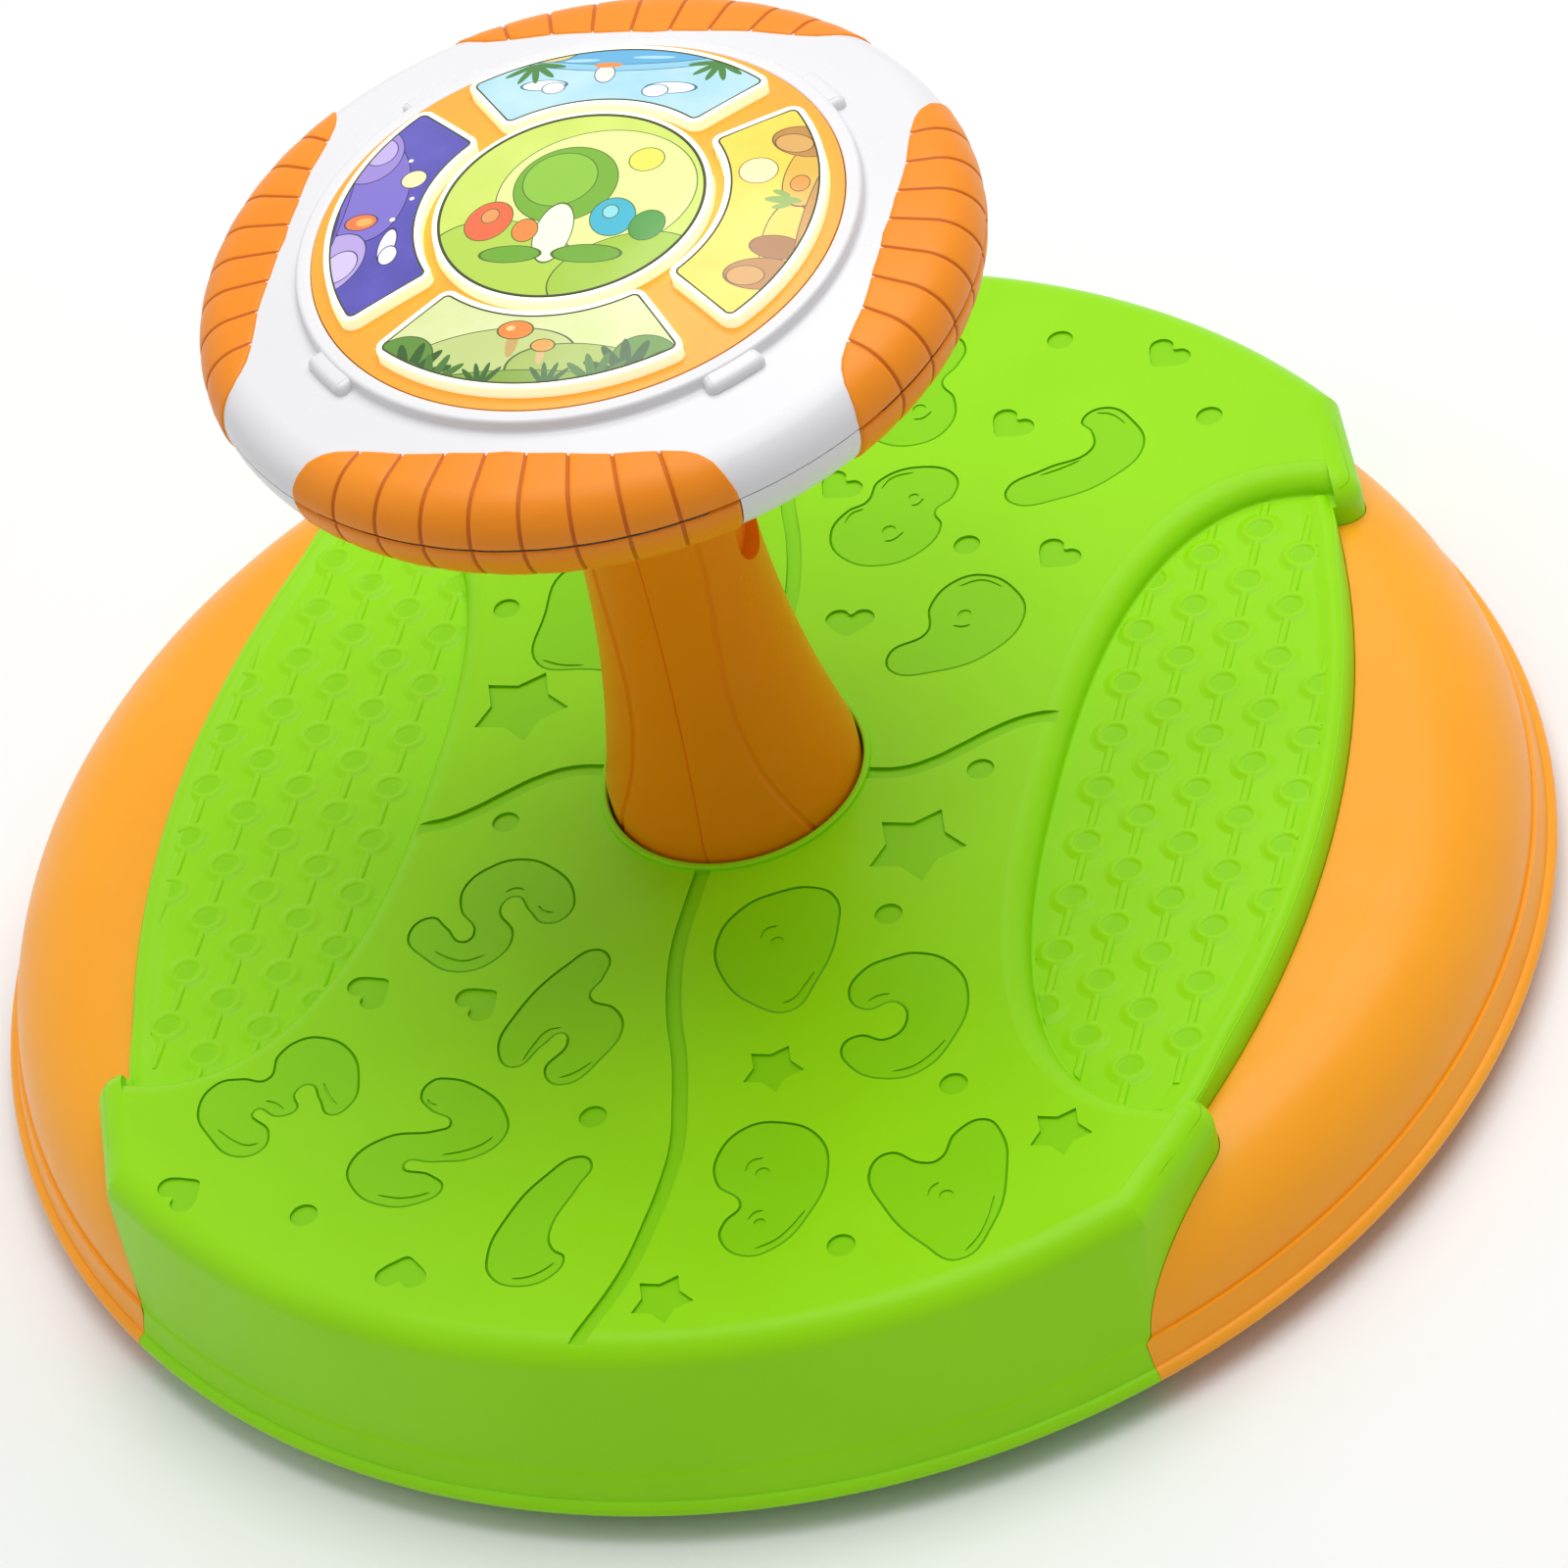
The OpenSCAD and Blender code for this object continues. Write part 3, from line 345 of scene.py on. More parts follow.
# each shape: colour, place across, distance from the middle, half width, half height, turn
# each fan of leaves: colour, foot across, foot's distance, leaf length, leaf half width, turns
pictures = {
    "centre": {"sky": "#d3e56c", "second": "#c9de5e", "line": "#4c6a1c", "shapes": [
        ("#e4ef98", 6, -4, 27, 25, 0), ("#b3d24a", -14, 22, 22, 14, -20), ("#a3c83c", 20, 26, 20, 13, 25),
        ("#74ae28", -3, -7, 14, 15, 8), ("#8cc438", -5, -9, 10, 10.5, 8), ("#f3f3dc", -2, 12, 5, 11, 0),
        ("#6ba726", -12, 20, 8, 3, 0), ("#6ba726", 9, 20, 9, 3.2, 0), ("#f0683c", -21, 7, 6.2, 7.4, -14),
        ("#f79a5a", -21, 5, 2.2, 2.6, -14), ("#ef8a3e", -10, 11, 3.4, 4.2, 10),
        ("#3fb3cc", 13, 6, 6, 7.2, 12), ("#8fdbe4", 12, 4, 2, 2.4, 12), ("#4c9a3a", 23, 9, 4.6, 5.6, -8),
        ("#f4e45a", 17, -17, 4.6, 4.6, 0)]},
    "front": {"sky": "#e3e9ae", "second": "#d3df96", "line": "#3c5a1c", "shapes": [
        ("#c2d082", -12, 60, 26, 12, 12), ("#a9bd5c", 20, 64, 24, 11, -10), ("#c9a45c", -4, 52, 1.6, 5, 0),
        ("#f08a34", -4, 47.6, 4.6, 3, 0), ("#fbd08a", -5.4, 47, 1.2, 0.9, 0),
        ("#d9b878", 4.6, 56, 1.1, 3.4, 0), ("#f3a44a", 4.6, 53, 3, 2, 0), ("#86a93c", 2, 72, 40, 10.5, 0),
        ("#5f8f30", -34, 57, 9, 8, 20), ("#5f8f30", 33, 57, 9, 8, -20)], "fans": [
        ("#2f5a1e", -31, 64, 6.5, 1.5, (-70, -40, -12, 16, 44)),
        ("#47792a", -24, 66, 5.5, 1.2, (-50, -20, 10, 40)),
        ("#2f5a1e", 29, 63, 6.5, 1.5, (-44, -16, 12, 40, 70)),
        ("#47792a", 21, 66, 5.5, 1.2, (-40, -10, 20, 50)),
        ("#35661f", 8, 67, 4.2, 0.8, (-40, -14, 12, 38)),
        ("#35661f", -10, 67, 4.2, 0.8, (-36, -10, 16, 42))]},
    "right": {"sky": "#f6de58", "second": "#efd246", "line": "#7a5220", "shapes": [
        ("#fff4b4", 14, 48, 5, 5, 0), ("#f4d254", -16, 62, 18, 7, 8), ("#e4b844", 18, 64, 17, 8, -12),
        ("#b9803a", -25, 57, 5.6, 9.6, 4), ("#d29c50", -26, 53, 3.4, 4.8, 4),
        ("#a66f30", -15, 59, 4.2, 7, -6), ("#c08a40", 27, 58, 6, 9, -8), ("#dba85a", 26, 55, 3.6, 5, -8),
        ("#8fae4a", 3, 57, 1.5, 5, 0), ("#8fae4a", 0.6, 57, 1, 2.6, 20), ("#8fae4a", 5.6, 56, 1, 2.6, -20),
        ("#ef9a3c", 10, 60, 3, 2.4, 0), ("#c9923e", -4, 71, 34, 7.6, 0), ("#b47c34", 20, 66, 8, 2.4, 0),
        ("#e0b45c", -12, 66, 7, 1.6, 0)]},
    "back": {"sky": "#bfe2ec", "second": "#a6d6e6", "line": "#2e6680", "shapes": [
        ("#f6fbfb", -16, 48, 6.6, 2.4, 0), ("#f6fbfb", -12, 46.6, 3.4, 2.6, 0),
        ("#f6fbfb", 20, 50, 6, 2.2, 0), ("#f6fbfb", 17, 48.6, 3, 2.4, 0), ("#8cc9e4", 0, 80, 48, 24, 0),
        ("#5cacd8", 0, 86, 52, 27, 0), ("#a9d8ea", -8, 62, 6, 0.7, 0), ("#a9d8ea", 12, 61, 5, 0.7, 0),
        ("#f4f0e0", 4, 54.5, 2.6, 3.8, 14), ("#ef8a3c", 4, 58.6, 4, 1.2, 0),
        ("#e8cf86", 27, 68, 13, 6.5, -14), ("#e8cf86", -29, 69, 12, 6.5, 14)], "fans": [
        ("#3f7d2c", -27, 60, 4.4, 1, (-80, -46, -14, 18, 52)),
        ("#3f7d2c", 25, 60, 4.6, 1, (-52, -18, 14, 46, 80))]},
    "left": {"sky": "#5b52b8", "second": "#4d45a6", "line": "#2c2566", "shapes": [
        ("#7b6cc8", -10, 60, 22, 12, 14), ("#f3ecff", 14, 48, 6, 2.2, 0),
        ("#f3ecff", 18, 46.8, 3.4, 2.4, 0), ("#f4eab0", -12, 47, 3.4, 3.4, 0),
        ("#b6a2de", 20, 63, 12, 9, -20), ("#d2c3ec", 21, 60, 6, 4.6, -20),
        ("#9a86d2", -24, 63, 12, 9.5, 18), ("#c0aee6", -25, 60, 5.6, 4.6, 18),
        ("#e8783c", 4, 58, 3, 4.4, 0), ("#f8b05a", 4, 57, 1.6, 2.4, 0), ("#6f5bc0", 0, 74, 38, 10, 0),
        ("#4a3c98", 8, 70, 18, 5, 0), ("#f4f0d0", -4, 45.5, 0.7, 0.7, 0), ("#f4f0d0", 4, 49, 0.8, 0.8, 0),
        ("#f4f0d0", -20, 50, 0.7, 0.7, 0)]},
}
quarters = {"centre": 3, "right": 0, "back": 1, "left": 2, "front": 3}
paper = {"washScale": 70.0, "patchScale": 90.0, "rough": (0.10, 0.18), "grainScale": 900.0, "grain": 0.04,
         "glow": 0.06, "line": 0.3, "lineFrom": 1.9}


def paintFace(name, picture):
    finish, tree, shader, place = startFinish("picture" + name.capitalize())
    spin = radians(90 * quarters[name])
    away = Vector((cos(spin), sin(spin)))
    across = Vector((-sin(spin), cos(spin)))
    wash = between(tree, noise(tree, place, paper["washScale"], 3.0), 0.0, 1.0)
    colour = mixColour(tree, wash, linear(picture["sky"]), linear(picture["second"]))
    leaves = [leaf for settings in picture.get("fans", ()) for leaf in fan(*settings)]
    for shade, side, reach, wide, tall, turn in picture["shapes"] + leaves:
        middle = (away * reach + across * side) * mm
        local = node(tree, "ShaderNodeMapping", {
            "Vector": place, "Location": (middle.x, middle.y, 0), "Scale": (wide * mm, tall * mm, 1000),
            "Rotation": (0, 0, spin + radians(90 + turn))}, vector_type="TEXTURE")
        far = node(tree, "ShaderNodeVectorMath", {0: local.outputs["Vector"]}, operation="LENGTH")
        thin = min(wide, tall)
        drawn = [(paper["line"], picture["line"])] if thin > paper["lineFrom"] else []
        for grow, paint in drawn + [(0.0, shade)]:
            inputs = {0: far.outputs["Value"], 1: 1 + grow / thin}
            inside = node(tree, "ShaderNodeMath", inputs, operation="LESS_THAN")
            colour = mixColour(tree, inside.outputs[0], colour, linear(paint))
    patches = noise(tree, place, paper["patchScale"], 3.0)
    grain = noise(tree, place, paper["grainScale"])
    feed(tree, shader, {"Base Color": colour, "Roughness": between(tree, patches, *paper["rough"]),
                        "Normal": grainBump(tree, grain, paper["grain"]),
                        "Emission Color": colour, "Emission Strength": paper["glow"]})
    return finish


for name, picture in pictures.items():
    finishes["face_" + name] = paintFace(name, picture)
print("panel pictures painted")

# seat moulding, millimetres
seat = {"top": 64.0, "gap": 8.5, "beadIn": 222.6, "bead": 2.4, "ledgeTop": 220.6, "skirt": 219.5,
        "ledge": 21.3, "edge": 9.0, "draft": 7.0, "wall": 3.0, "tabs": 24.1, "seam": 49.8, "round": 9.0,
        "hole": 37.6, "beyond": 292.5, "over": 8.0, "clear": 90.0}
rest = {"floor": 57.0, "arcX": -182.36, "arc": 353.36, "inX": 92.0, "tipX": 150.0, "tipY": 120.0,
        "power": 0.8, "nose": 8.0, "noseX": 150.5, "noseY": 122.5, "noseStart": -80.0, "noseTurn": 17.0,
        "noseGrow": 3.0, "noseLeast": 0.05, "fillet": 1.0, "wide": 8.0, "tall": 6.2, "over": 1.0}
# broad roll along the footrest's outer edge; it dies out towards the noses
roll = {"deep": 4.6, "tall": 7.65, "foot": 50.4, "levels": (51.6, 52.8, 54.0), "end": 113.0, "fade": 24.0,
        "proud": 0.04, "columns": 81}


def restArc(grow, reach=rest["tipY"], count=49):
    radius = rest["arc"] + grow
    half = degrees(asin(reach / radius))
    return arcPoints(rest["arcX"], 0, radius, -half, half, count)


def restInner(grow, count=60):
    points = []
    for i in range(1, count):
        t = radians(90 - 180 * i / count)
        x = rest["tipX"] - (rest["tipX"] - rest["inX"] + grow) * abs(cos(t)) ** rest["power"]
        y = (rest["tipY"] + grow) * copysign(abs(sin(t)) ** rest["power"], t)
        points.append((x, y))
    return points


def restOutline(side, grow, over=0.0):
    return [(side * x, side * y) for x, y in restArc(grow + over, rest["tipY"] + grow) + restInner(grow)]


# deck's straight side from the rounded corner by the footrest tip out past the lip
def sideEdge(grow):
    seam = radians(seat["seam"])
    corner = Vector((rest["noseX"], rest["noseY"]))
    ledge = seat["ledgeTop"] * Vector((cos(seam), sin(seam)))
    run = ledge - corner
    turn = degrees(atan2(run.y, run.x) - acos(rest["nose"] / run.length))
    out = Vector((cos(radians(turn)), sin(radians(turn))))
    start = rest["noseStart"] - rest["noseTurn"] * min(max(grow, 0.0), rest["noseGrow"])
    points = arcPoints(corner.x, corner.y, max(rest["nose"] - grow, rest["noseLeast"]), start, turn, 14)
    far = seat["beyond"] * Vector((cos(seam), sin(seam)))
    end = far.x - grow * sin(seam), far.y + grow * cos(seam)
    return points + [tuple(ledge - grow * out), end]


def rollShare(y):
    share = clamp((roll["end"] - abs(y)) / roll["fade"])
    return share * share * (3 - 2 * share)


def rollInset(z):
    rise = clamp((z - roll["foot"]) / roll["tall"])
    return roll["deep"] * (1 - sqrt(1 - rise * rise))


# opening of a side cover, with the roll drawn in by extra
def coverOutline(side, grow, extra=0.0):
    edge = sideEdge(grow)
    wide = seat["beyond"]
    tall = edge[-1][1]
    arc = restArc(-grow, edge[0][1] - 0.3)  # stops just short of the nose
    drawn = [extra * rollShare(y) / rest["arc"] for x, y in arc]
    arc = [(x - d * (x - rest["arcX"]), y - d * y) for d, (x, y) in zip(drawn, arc)]
    far = edge + [(wide, tall), (wide, -tall)] + [(x, -y) for x, y in edge[::-1]]
    return [(side * px, side * py) for px, py in arc + far]


# rounded top edge of an opening, as growths and heights
def roundedEdge(radius, top, count=9):
    turns = [radians(84 * i / (count - 1)) for i in range(count)]  # ends just short of flat
    return [(radius - radius * cos(t), top - radius + radius * sin(t)) for t in turns]


def coverCutter(side):
    edge = roundedEdge(seat["round"], seat["top"])
    levels = [(0.0, z) for z in (0.0, roll["foot"], *roll["levels"])] + edge
    levels.append((edge[-1][0], seat["top"] + seat["over"]))
    outlines = []
    for g, z in levels:
        extra = max(rollInset(min(z, rest["floor"])) - g, 0.0)
        outlines.append((coverOutline(side, g, extra), z))
    return makeObject(blockFrom(outlines), "coverCutter")


# footrest recess: a small fillet at its floor, then a broad rounded ledge
def restCutter(side):
    fillet = rest["fillet"]
    levels = []
    for turn in [radians(15 * i) for i in range(6)]:
        levels.append((-fillet + fillet * sin(turn), rest["floor"] + fillet - fillet * cos(turn)))
    for turn in [radians(7 * i) for i in range(1, 13)]:
        drop = rest["tall"] * (1 - sin(turn))
        levels.append((rest["wide"] * (1 - cos(turn)), seat["top"] - drop))
    levels.append((levels[-1][0], seat["top"] + seat["over"]))
    outlines = [(restOutline(side, g, rest["over"] - g), z) for g, z in levels]
    return makeObject(blockFrom(outlines), "restCutter")


def seatProfile(shrink):
    draft = radians(seat["draft"])
    edge = seat["edge"]
    edgeZ = seat["top"] - edge
    edgeX = seat["skirt"] - (edge - (seat["ledge"] - edgeZ) * sin(draft)) / cos(draft)
    return arcPoints(edgeX, edgeZ, edge - shrink, seat["draft"], 90, 12)


def makeSeatBody():
    outer = [(0, seat["gap"])]
    outer += arcPoints(seat["beadIn"], seat["gap"] + seat["bead"], seat["bead"], -90, 90, 11)
    outer += [(seat["ledgeTop"], seat["ledge"] - 1.0), (seat["ledgeTop"] - 0.2, seat["ledge"] - 0.35)]
    outer += [(seat["ledgeTop"] - 0.6, seat["ledge"] + 0.1), (seat["skirt"] + 0.1, seat["ledge"] + 0.6)]
    outer.append((seat["skirt"] - 0.2, seat["ledge"] + 1.7))
    outer += seatProfile(0.0) + [(0, seat["top"])]
    bm = spinProfile(outer, 240)
    flatten(bm, seat["top"])
    flatten(bm, seat["gap"])
    return makeObject(bm, "deckMoulding")


def makeSeatRoom(grow):
    foot = seat["skirt"] - seat["wall"] / cos(radians(seat["draft"])) + grow
    inner = [(0, 0), (foot, 0), (foot, seat["ledge"])] + seatProfile(seat["wall"] - grow)
    bm = spinProfile(inner + [(0, seat["top"] - seat["wall"] + grow)], 160)
    flatten(bm, seat["top"] - seat["wall"] + grow)
    flatten(bm, 0)
    return makeObject(bm, "seatRoom")


# the hollow under the deck, clear of the covers and footrests
def makeInside(grow):
    room = makeSeatRoom(grow)
    out = seat["wall"] - grow
    for side in (1, -1):
        for edge, foot in ((coverOutline(side, out), seat["tabs"] + grow),
                           (restOutline(side, out), rest["floor"] - out)):
            carve(room, makeObject(blockFrom([(edge, foot), (edge, seat["clear"])]), "roomCutter"))
    return room


def makeDeck():
    made = makeSeatBody()
    carve(made, makeInside(0.2))
    for side in (1, -1):
        carve(made, coverCutter(side))
        carve(made, restCutter(side))
    hole = spinProfile([(0, 40), (seat["hole"], 40), (seat["hole"], 80), (0, 80)], 160)
    carve(made, makeObject(hole, "columnHole"))
    for cutter in makeEngraving():
        carve(made, cutter)
    return made


# moulded figures on the deck: bubble numbers and letters, hearts, stars, dots and the four long grooves
figures = {
    "one": [(-11, -145), (-7, -148), (-9, -156), (-13, -173), (-11, -178), (-7, -181), (-9, -188),
        (-18, -192), (-26, -189), (-29, -181), (-27, -168), (-20, -153)],
    "two": [(-56, -118), (-46, -121), (-36, -130), (-34, -139), (-41, -147), (-52, -149), (-60, -150),
        (-52, -153), (-47, -158), (-53, -164), (-63, -165), (-73, -159), (-76, -150), (-68, -140),
        (-54, -137), (-51, -135), (-58, -130), (-62, -125), (-60, -119)],
    "three": [(-96, -104), (-87, -108), (-81, -119), (-81, -129), (-86, -133), (-91, -127), (-95, -122),
        (-98, -125), (-96, -131), (-101, -134), (-108, -132), (-102, -139), (-102, -146), (-109, -149),
        (-119, -142), (-125, -132), (-122, -122), (-115, -120), (-108, -120), (-107, -111), (-102, -105)],
    "four": [(-25, -69), (-20, -72), (-20, -80), (-22, -87), (-14, -91), (-10, -98), (-13, -109),
        (-23, -120), (-29, -115), (-25, -104), (-27, -101), (-31, -105), (-38, -114), (-44, -108),
        (-42, -93), (-32, -75)],
    "five": [(-55, -35), (-45, -38), (-36, -48), (-36, -57), (-42, -60), (-48, -55), (-53, -50),
        (-56, -54), (-50, -64), (-52, -73), (-62, -79), (-74, -74), (-81, -65), (-76, -58), (-70, -62),
        (-64, -67), (-62, -64), (-68, -55), (-69, -46), (-63, -38)],
    "six": [(27, 181), (32, 176), (31, 168), (28, 161), (33, 154), (34, 142), (26, 134), (12, 136),
        (4, 147), (9, 165), (19, 177)],
    "seven": [(79, 150), (89, 144), (94, 133), (87, 120), (73, 111), (59, 109), (56, 115), (66, 124),
        (78, 132), (77, 139), (73, 144)],
    "eight": [(29, 125), (40, 121), (41, 112), (37, 106), (40, 100), (36, 89), (25, 83), (13, 86), (7, 96),
        (10, 106), (15, 110), (17, 119)],
    "nine": [(56, 80), (67, 74), (72, 63), (65, 48), (50, 40), (37, 40), (35, 48), (44, 56), (43, 67),
        (48, 77)],
    "letterA": [(98, -128), (104, -133), (108, -146), (108, -165), (101, -178), (90, -173), (77, -161),
        (70, -147), (74, -141), (84, -144), (88, -143), (91, -133)],
    "letterB": [(42, -131), (53, -135), (59, -147), (57, -164), (50, -176), (42, -179), (34, -173),
        (34, -167), (37, -161), (29, -154), (27, -143), (33, -133)],
    "letterC": [(67, -68), (78, -72), (85, -84), (84, -99), (77, -112), (67, -115), (57, -111), (53, -103),
        (57, -99), (65, -100), (69, -94), (65, -87), (57, -90), (51, -85), (53, -75), (60, -70)],
    "letterD": [(31, -44), (39, -47), (43, -60), (41, -80), (36, -91), (25, -89), (13, -78), (9, -65),
        (14, -52), (23, -46)],
    "letterE": [(-69, 82), (-55, 84), (-43, 82), (-41, 75), (-51, 71), (-53, 68), (-46, 66), (-45, 59),
        (-53, 56), (-51, 52), (-40, 50), (-41, 42), (-55, 40), (-69, 42), (-72, 62)],
    "letterF": [(-46, 131), (-32, 133), (-19, 130), (-19, 122), (-29, 119), (-30, 115), (-22, 113),
        (-23, 106), (-32, 104), (-35, 93), (-43, 89), (-49, 95), (-49, 111)],
    "letterG": [(-44, 177), (-31, 173), (-29, 166), (-36, 162), (-46, 164), (-50, 156), (-46, 148),
        (-38, 148), (-40, 154), (-32, 156), (-27, 148), (-34, 138), (-47, 135), (-59, 142), (-63, 156),
        (-58, 170)],
    "letterH": [(-105, 172), (-98, 172), (-96, 162), (-91, 159), (-86, 162), (-84, 172), (-76, 171),
        (-74, 152), (-76, 133), (-84, 132), (-86, 142), (-91, 145), (-96, 142), (-98, 132), (-106, 133),
        (-108, 152)],
}
strokes = [
    [(-36, -111), (-34, -105), (-31.5, -100), (-28, -98.5)], [(-24, -117), (-20.5, -115.5), (-16, -111)],
    [(-56.5, -48), (-54, -46.5), (-51, -47)], [(-45.5, -53), (-43.5, -55), (-40.5, -55.5)],
    [(-71.5, -71), (-67, -73.5), (-62, -74.5), (-56.5, -72)], [(-106, -128), (-103, -129), (-100, -131)],
    [(-91, -121), (-88, -126), (-85, -129)],
    [(-117, -139), (-111.5, -143), (-107, -144.5), (-104, -143.5)],
    [(-59.5, -126), (-58.5, -127.5), (-56.5, -128)],
    [(-50.5, -146), (-44.5, -144.5), (-40, -142), (-37.5, -139)],
    [(-65, -161), (-58.5, -162), (-53.5, -161), (-50.5, -159.5)],
    [(-20, -189), (-16, -188.5), (-12, -186), (-9.5, -183)], [(21.5, -64), (22.5, -60.5), (25.5, -59)],
    [(33, -88), (36, -86), (38, -81), (39.5, -76)], [(57, -86.5), (59.5, -84.5), (62.5, -83.5)],
    [(69, -112), (74.5, -110), (79, -105), (81.5, -100)], [(36, -149), (37, -145.5), (40, -144)],
    [(40.5, -166), (42, -163.5), (44, -162.5)], [(44.5, -176), (49.5, -173), (53, -168), (55.5, -162)],
    [(88, -156), (88.5, -153), (90, -151)], [(102, -174.5), (104.5, -170), (106, -163), (106, -155)],
    [(65, 121), (71, 124), (76, 127.5)], [(77, 147.5), (81, 147), (86.5, 143)],
    [(50, 75), (56, 77.5), (63, 75)], [(51.5, 59), (54.5, 58.5), (56.5, 59.5)],
    [(18.5, 115.5), (21, 120), (27, 122.5)], [(10.5, 101), (12, 105), (15, 107)],
    [(29, 108.5), (31, 109), (32, 111.5)], [(24, 93.5), (26.5, 94), (29, 97.5)],
    [(22, 145), (25, 145.5), (27, 148.5)], [(-68, 44), (-62, 42), (-55, 42)],
    [(-47, 100), (-45, 93), (-41, 91.5)], [(-56, 142), (-48, 137.5), (-38, 139)],
    [(-104, 135), (-100, 134)],
]
rings = [(26.5, -65, 1.9), (41, -149.5, 2.1), (44, -167, 1.6), (93, -155.5, 2.0), (54, 63.5, 2.0),
         (29, 112, 1.5), (24.5, 98, 2.1), (23, 149.5, 2.0)]
dots = [(-63, -21), (-11, -131), (-84, -169), (56, -54), (71, 2), (87, -116), (68, -174), (60, 179),
        (111, 146), (49, 92), (-84, 65), (-87, 118), (-68, 178)]
hearts = [(-87, -87, 45), (-54.5, -90.5, 45), (-122, -162.5, 45), (-51, -189, 88), (52.5, 143, -125),
          (77, 88.5, -125), (20.5, 61, -88), (94, 173, -125), (6, 117, -125)]
stars = [(58.5, -27.6, 14.5), (35.5, -112, 8.9), (23, -194.5, 8.9), (119.5, -132, 8.9), (-70, 25, 14.5),
         (-69, 106, 8.9), (-26, 194, 8.9), (-119, 130, 8.9)]
longGrooves = [
    [(-0.7, -36), (-1.3, -53), (-1.3, -67), (0.3, -80), (3.8, -95), (8.1, -108), (12.2, -125), (15, -141),
     (15.1, -154), (14, -167), (11.2, -186), (2.8, -211)],
    [(36, 0), (48.6, 0.7), (57, 4.5), (64.7, 10.3), (72, 16.3), (80.5, 21.5), (90, 24)],
]
engrave = {"line": 0.75, "lineDeep": 0.75, "sunk": 0.12, "pocket": 0.9, "pocketFoot": 0.2, "dot": 3.9,
           "groove": 1.1, "grooveWide": 4.4, "grooveFoot": 0.25, "stroke": 0.45, "strokeDeep": 0.6,
           "strokeFoot": 0.05, "ringFoot": 0.1, "above": 0.6, "starIn": 0.61}
# faces that take the sunk colour as painted shade: recess floors in part, steep walls in full
recessShadeMark = {"reach": 212.5, "least": 0.04, "flat": 0.9995, "floorDeep": 1.6, "floorShade": 0.36,
            "steep": 0.8, "wallDeep": 1.15}
heartHalf = [(6.6, 0.4), (4.7, 3.1), (2.2, 5.9), (0.3, 7.1), (-1.8, 7), (-3.5, 5.7), (-4.2, 3.6),
             (-3.7, 1.7), (-2.3, 0.3)]


def smoothLine(points, closed, steps=7):
    curve = bpy.data.curves.new("line", "CURVE")
    curve.resolution_u = steps
    spline = curve.splines.new("BEZIER")
    spline.bezier_points.add(len(points) - 1)
    for knot, (x, y) in zip(spline.bezier_points, points):
        knot.co = (x, y, 0)
        knot.handle_left_type = "AUTO"
        knot.handle_right_type = "AUTO"
    spline.use_cyclic_u = closed
    mesh = meshFrom(curve)
    traced = [(v.co.x, v.co.y) for v in mesh.vertices]
    bpy.data.meshes.remove(mesh)
    return traced


def stripAround(line, half, taper):
    left, right = [], []
    for i, (x, y) in enumerate(line):
        ax, ay = line[max(i - 1, 0)]
        bx, by = line[min(i + 1, len(line) - 1)]
        run = hypot(bx - ax, by - ay)
        share = i / (len(line) - 1)
        wide = half * (max(4 * share * (1 - share), 0.02) ** 0.5 if taper else 1.0)
        left.append((x - (by - ay) / run * wide, y + (bx - ax) / run * wide))
        right.append((x + (by - ay) / run * wide, y - (bx - ax) / run * wide))
    return left + right[::-1]


# a cutter that sinks from just above the deck; an inset step shapes its foot
def sinkCutter(bm, outline, deep, step, rise=0.0):
    part = bmesh.new()
    above = engrave["above"]
    corners = [part.verts.new((x * mm, y * mm, (seat["top"] + above) * mm)) for x, y in outline]
    pushed = bmesh.ops.extrude_face_region(part, geom=[part.faces.new(corners)])
    lower = [f for f in pushed["geom"] if isinstance(f, bmesh.types.BMFace)][0]
    bmesh.ops.translate(part, verts=lower.verts, vec=(0, 0, -(deep + above) * mm))
    bmesh.ops.inset_individual(part, faces=[lower], thickness=step * mm, use_even_offset=True)
    bmesh.ops.translate(part, verts=lower.verts, vec=(0, 0, rise * mm))
    fillHoles(part)
    alignFaces(part)
    addTo(bm, part)


def heartOutline(x, y, turn):
    shape = heartHalf + [(a, -b) for a, b in heartHalf[::-1]]
    c, s = cos(radians(turn)), sin(radians(turn))
    return [(x + a * c - b * s, y + a * s + b * c) for a, b in smoothLine(shape, True, 4)]


def starOutline(x, y, size):
    points = []
    for i in range(10):
        reach = size if i % 2 == 0 else size * engrave["starIn"]
        turn = radians(36 * i)
        points.append((x + reach * cos(turn), y + reach * sin(turn)))
    return points


# outlines and pockets first, then the short strokes inside the figures
def makeEngraving():
    bm = bmesh.new()
    deep = engrave["lineDeep"]
    for outline in figures.values():
        sinkCutter(bm, smoothLine(outline, True), deep, engrave["line"], deep - engrave["sunk"])
    pockets = [arcPoints(x, y, engrave["dot"], 0, 350, 36) for x, y in dots]
    pockets += [heartOutline(*heart) for heart in hearts] + [starOutline(*star) for star in stars]
    for outline in pockets:
        sinkCutter(bm, outline, engrave["pocket"], engrave["pocketFoot"])
    for line in longGrooves:
        for turn in (1, -1):
            path = smoothLine([(turn * x, turn * y) for x, y in line], False)
            outline = stripAround(path, engrave["grooveWide"] / 2, False)
            sinkCutter(bm, outline, engrave["groove"], engrave["grooveFoot"])
    inner = bmesh.new()
    for stroke in strokes:
        outline = stripAround(smoothLine(stroke, False, 5), engrave["stroke"], True)
        sinkCutter(inner, outline, engrave["strokeDeep"], engrave["strokeFoot"])
    for x, y, radius in rings:
        outline = arcPoints(x, y, radius, 0, 345, 24)
        sinkCutter(inner, outline, engrave["strokeDeep"], engrave["ringFoot"])
    return makeObject(bm, "outlineCutter"), makeObject(inner, "strokeCutter")
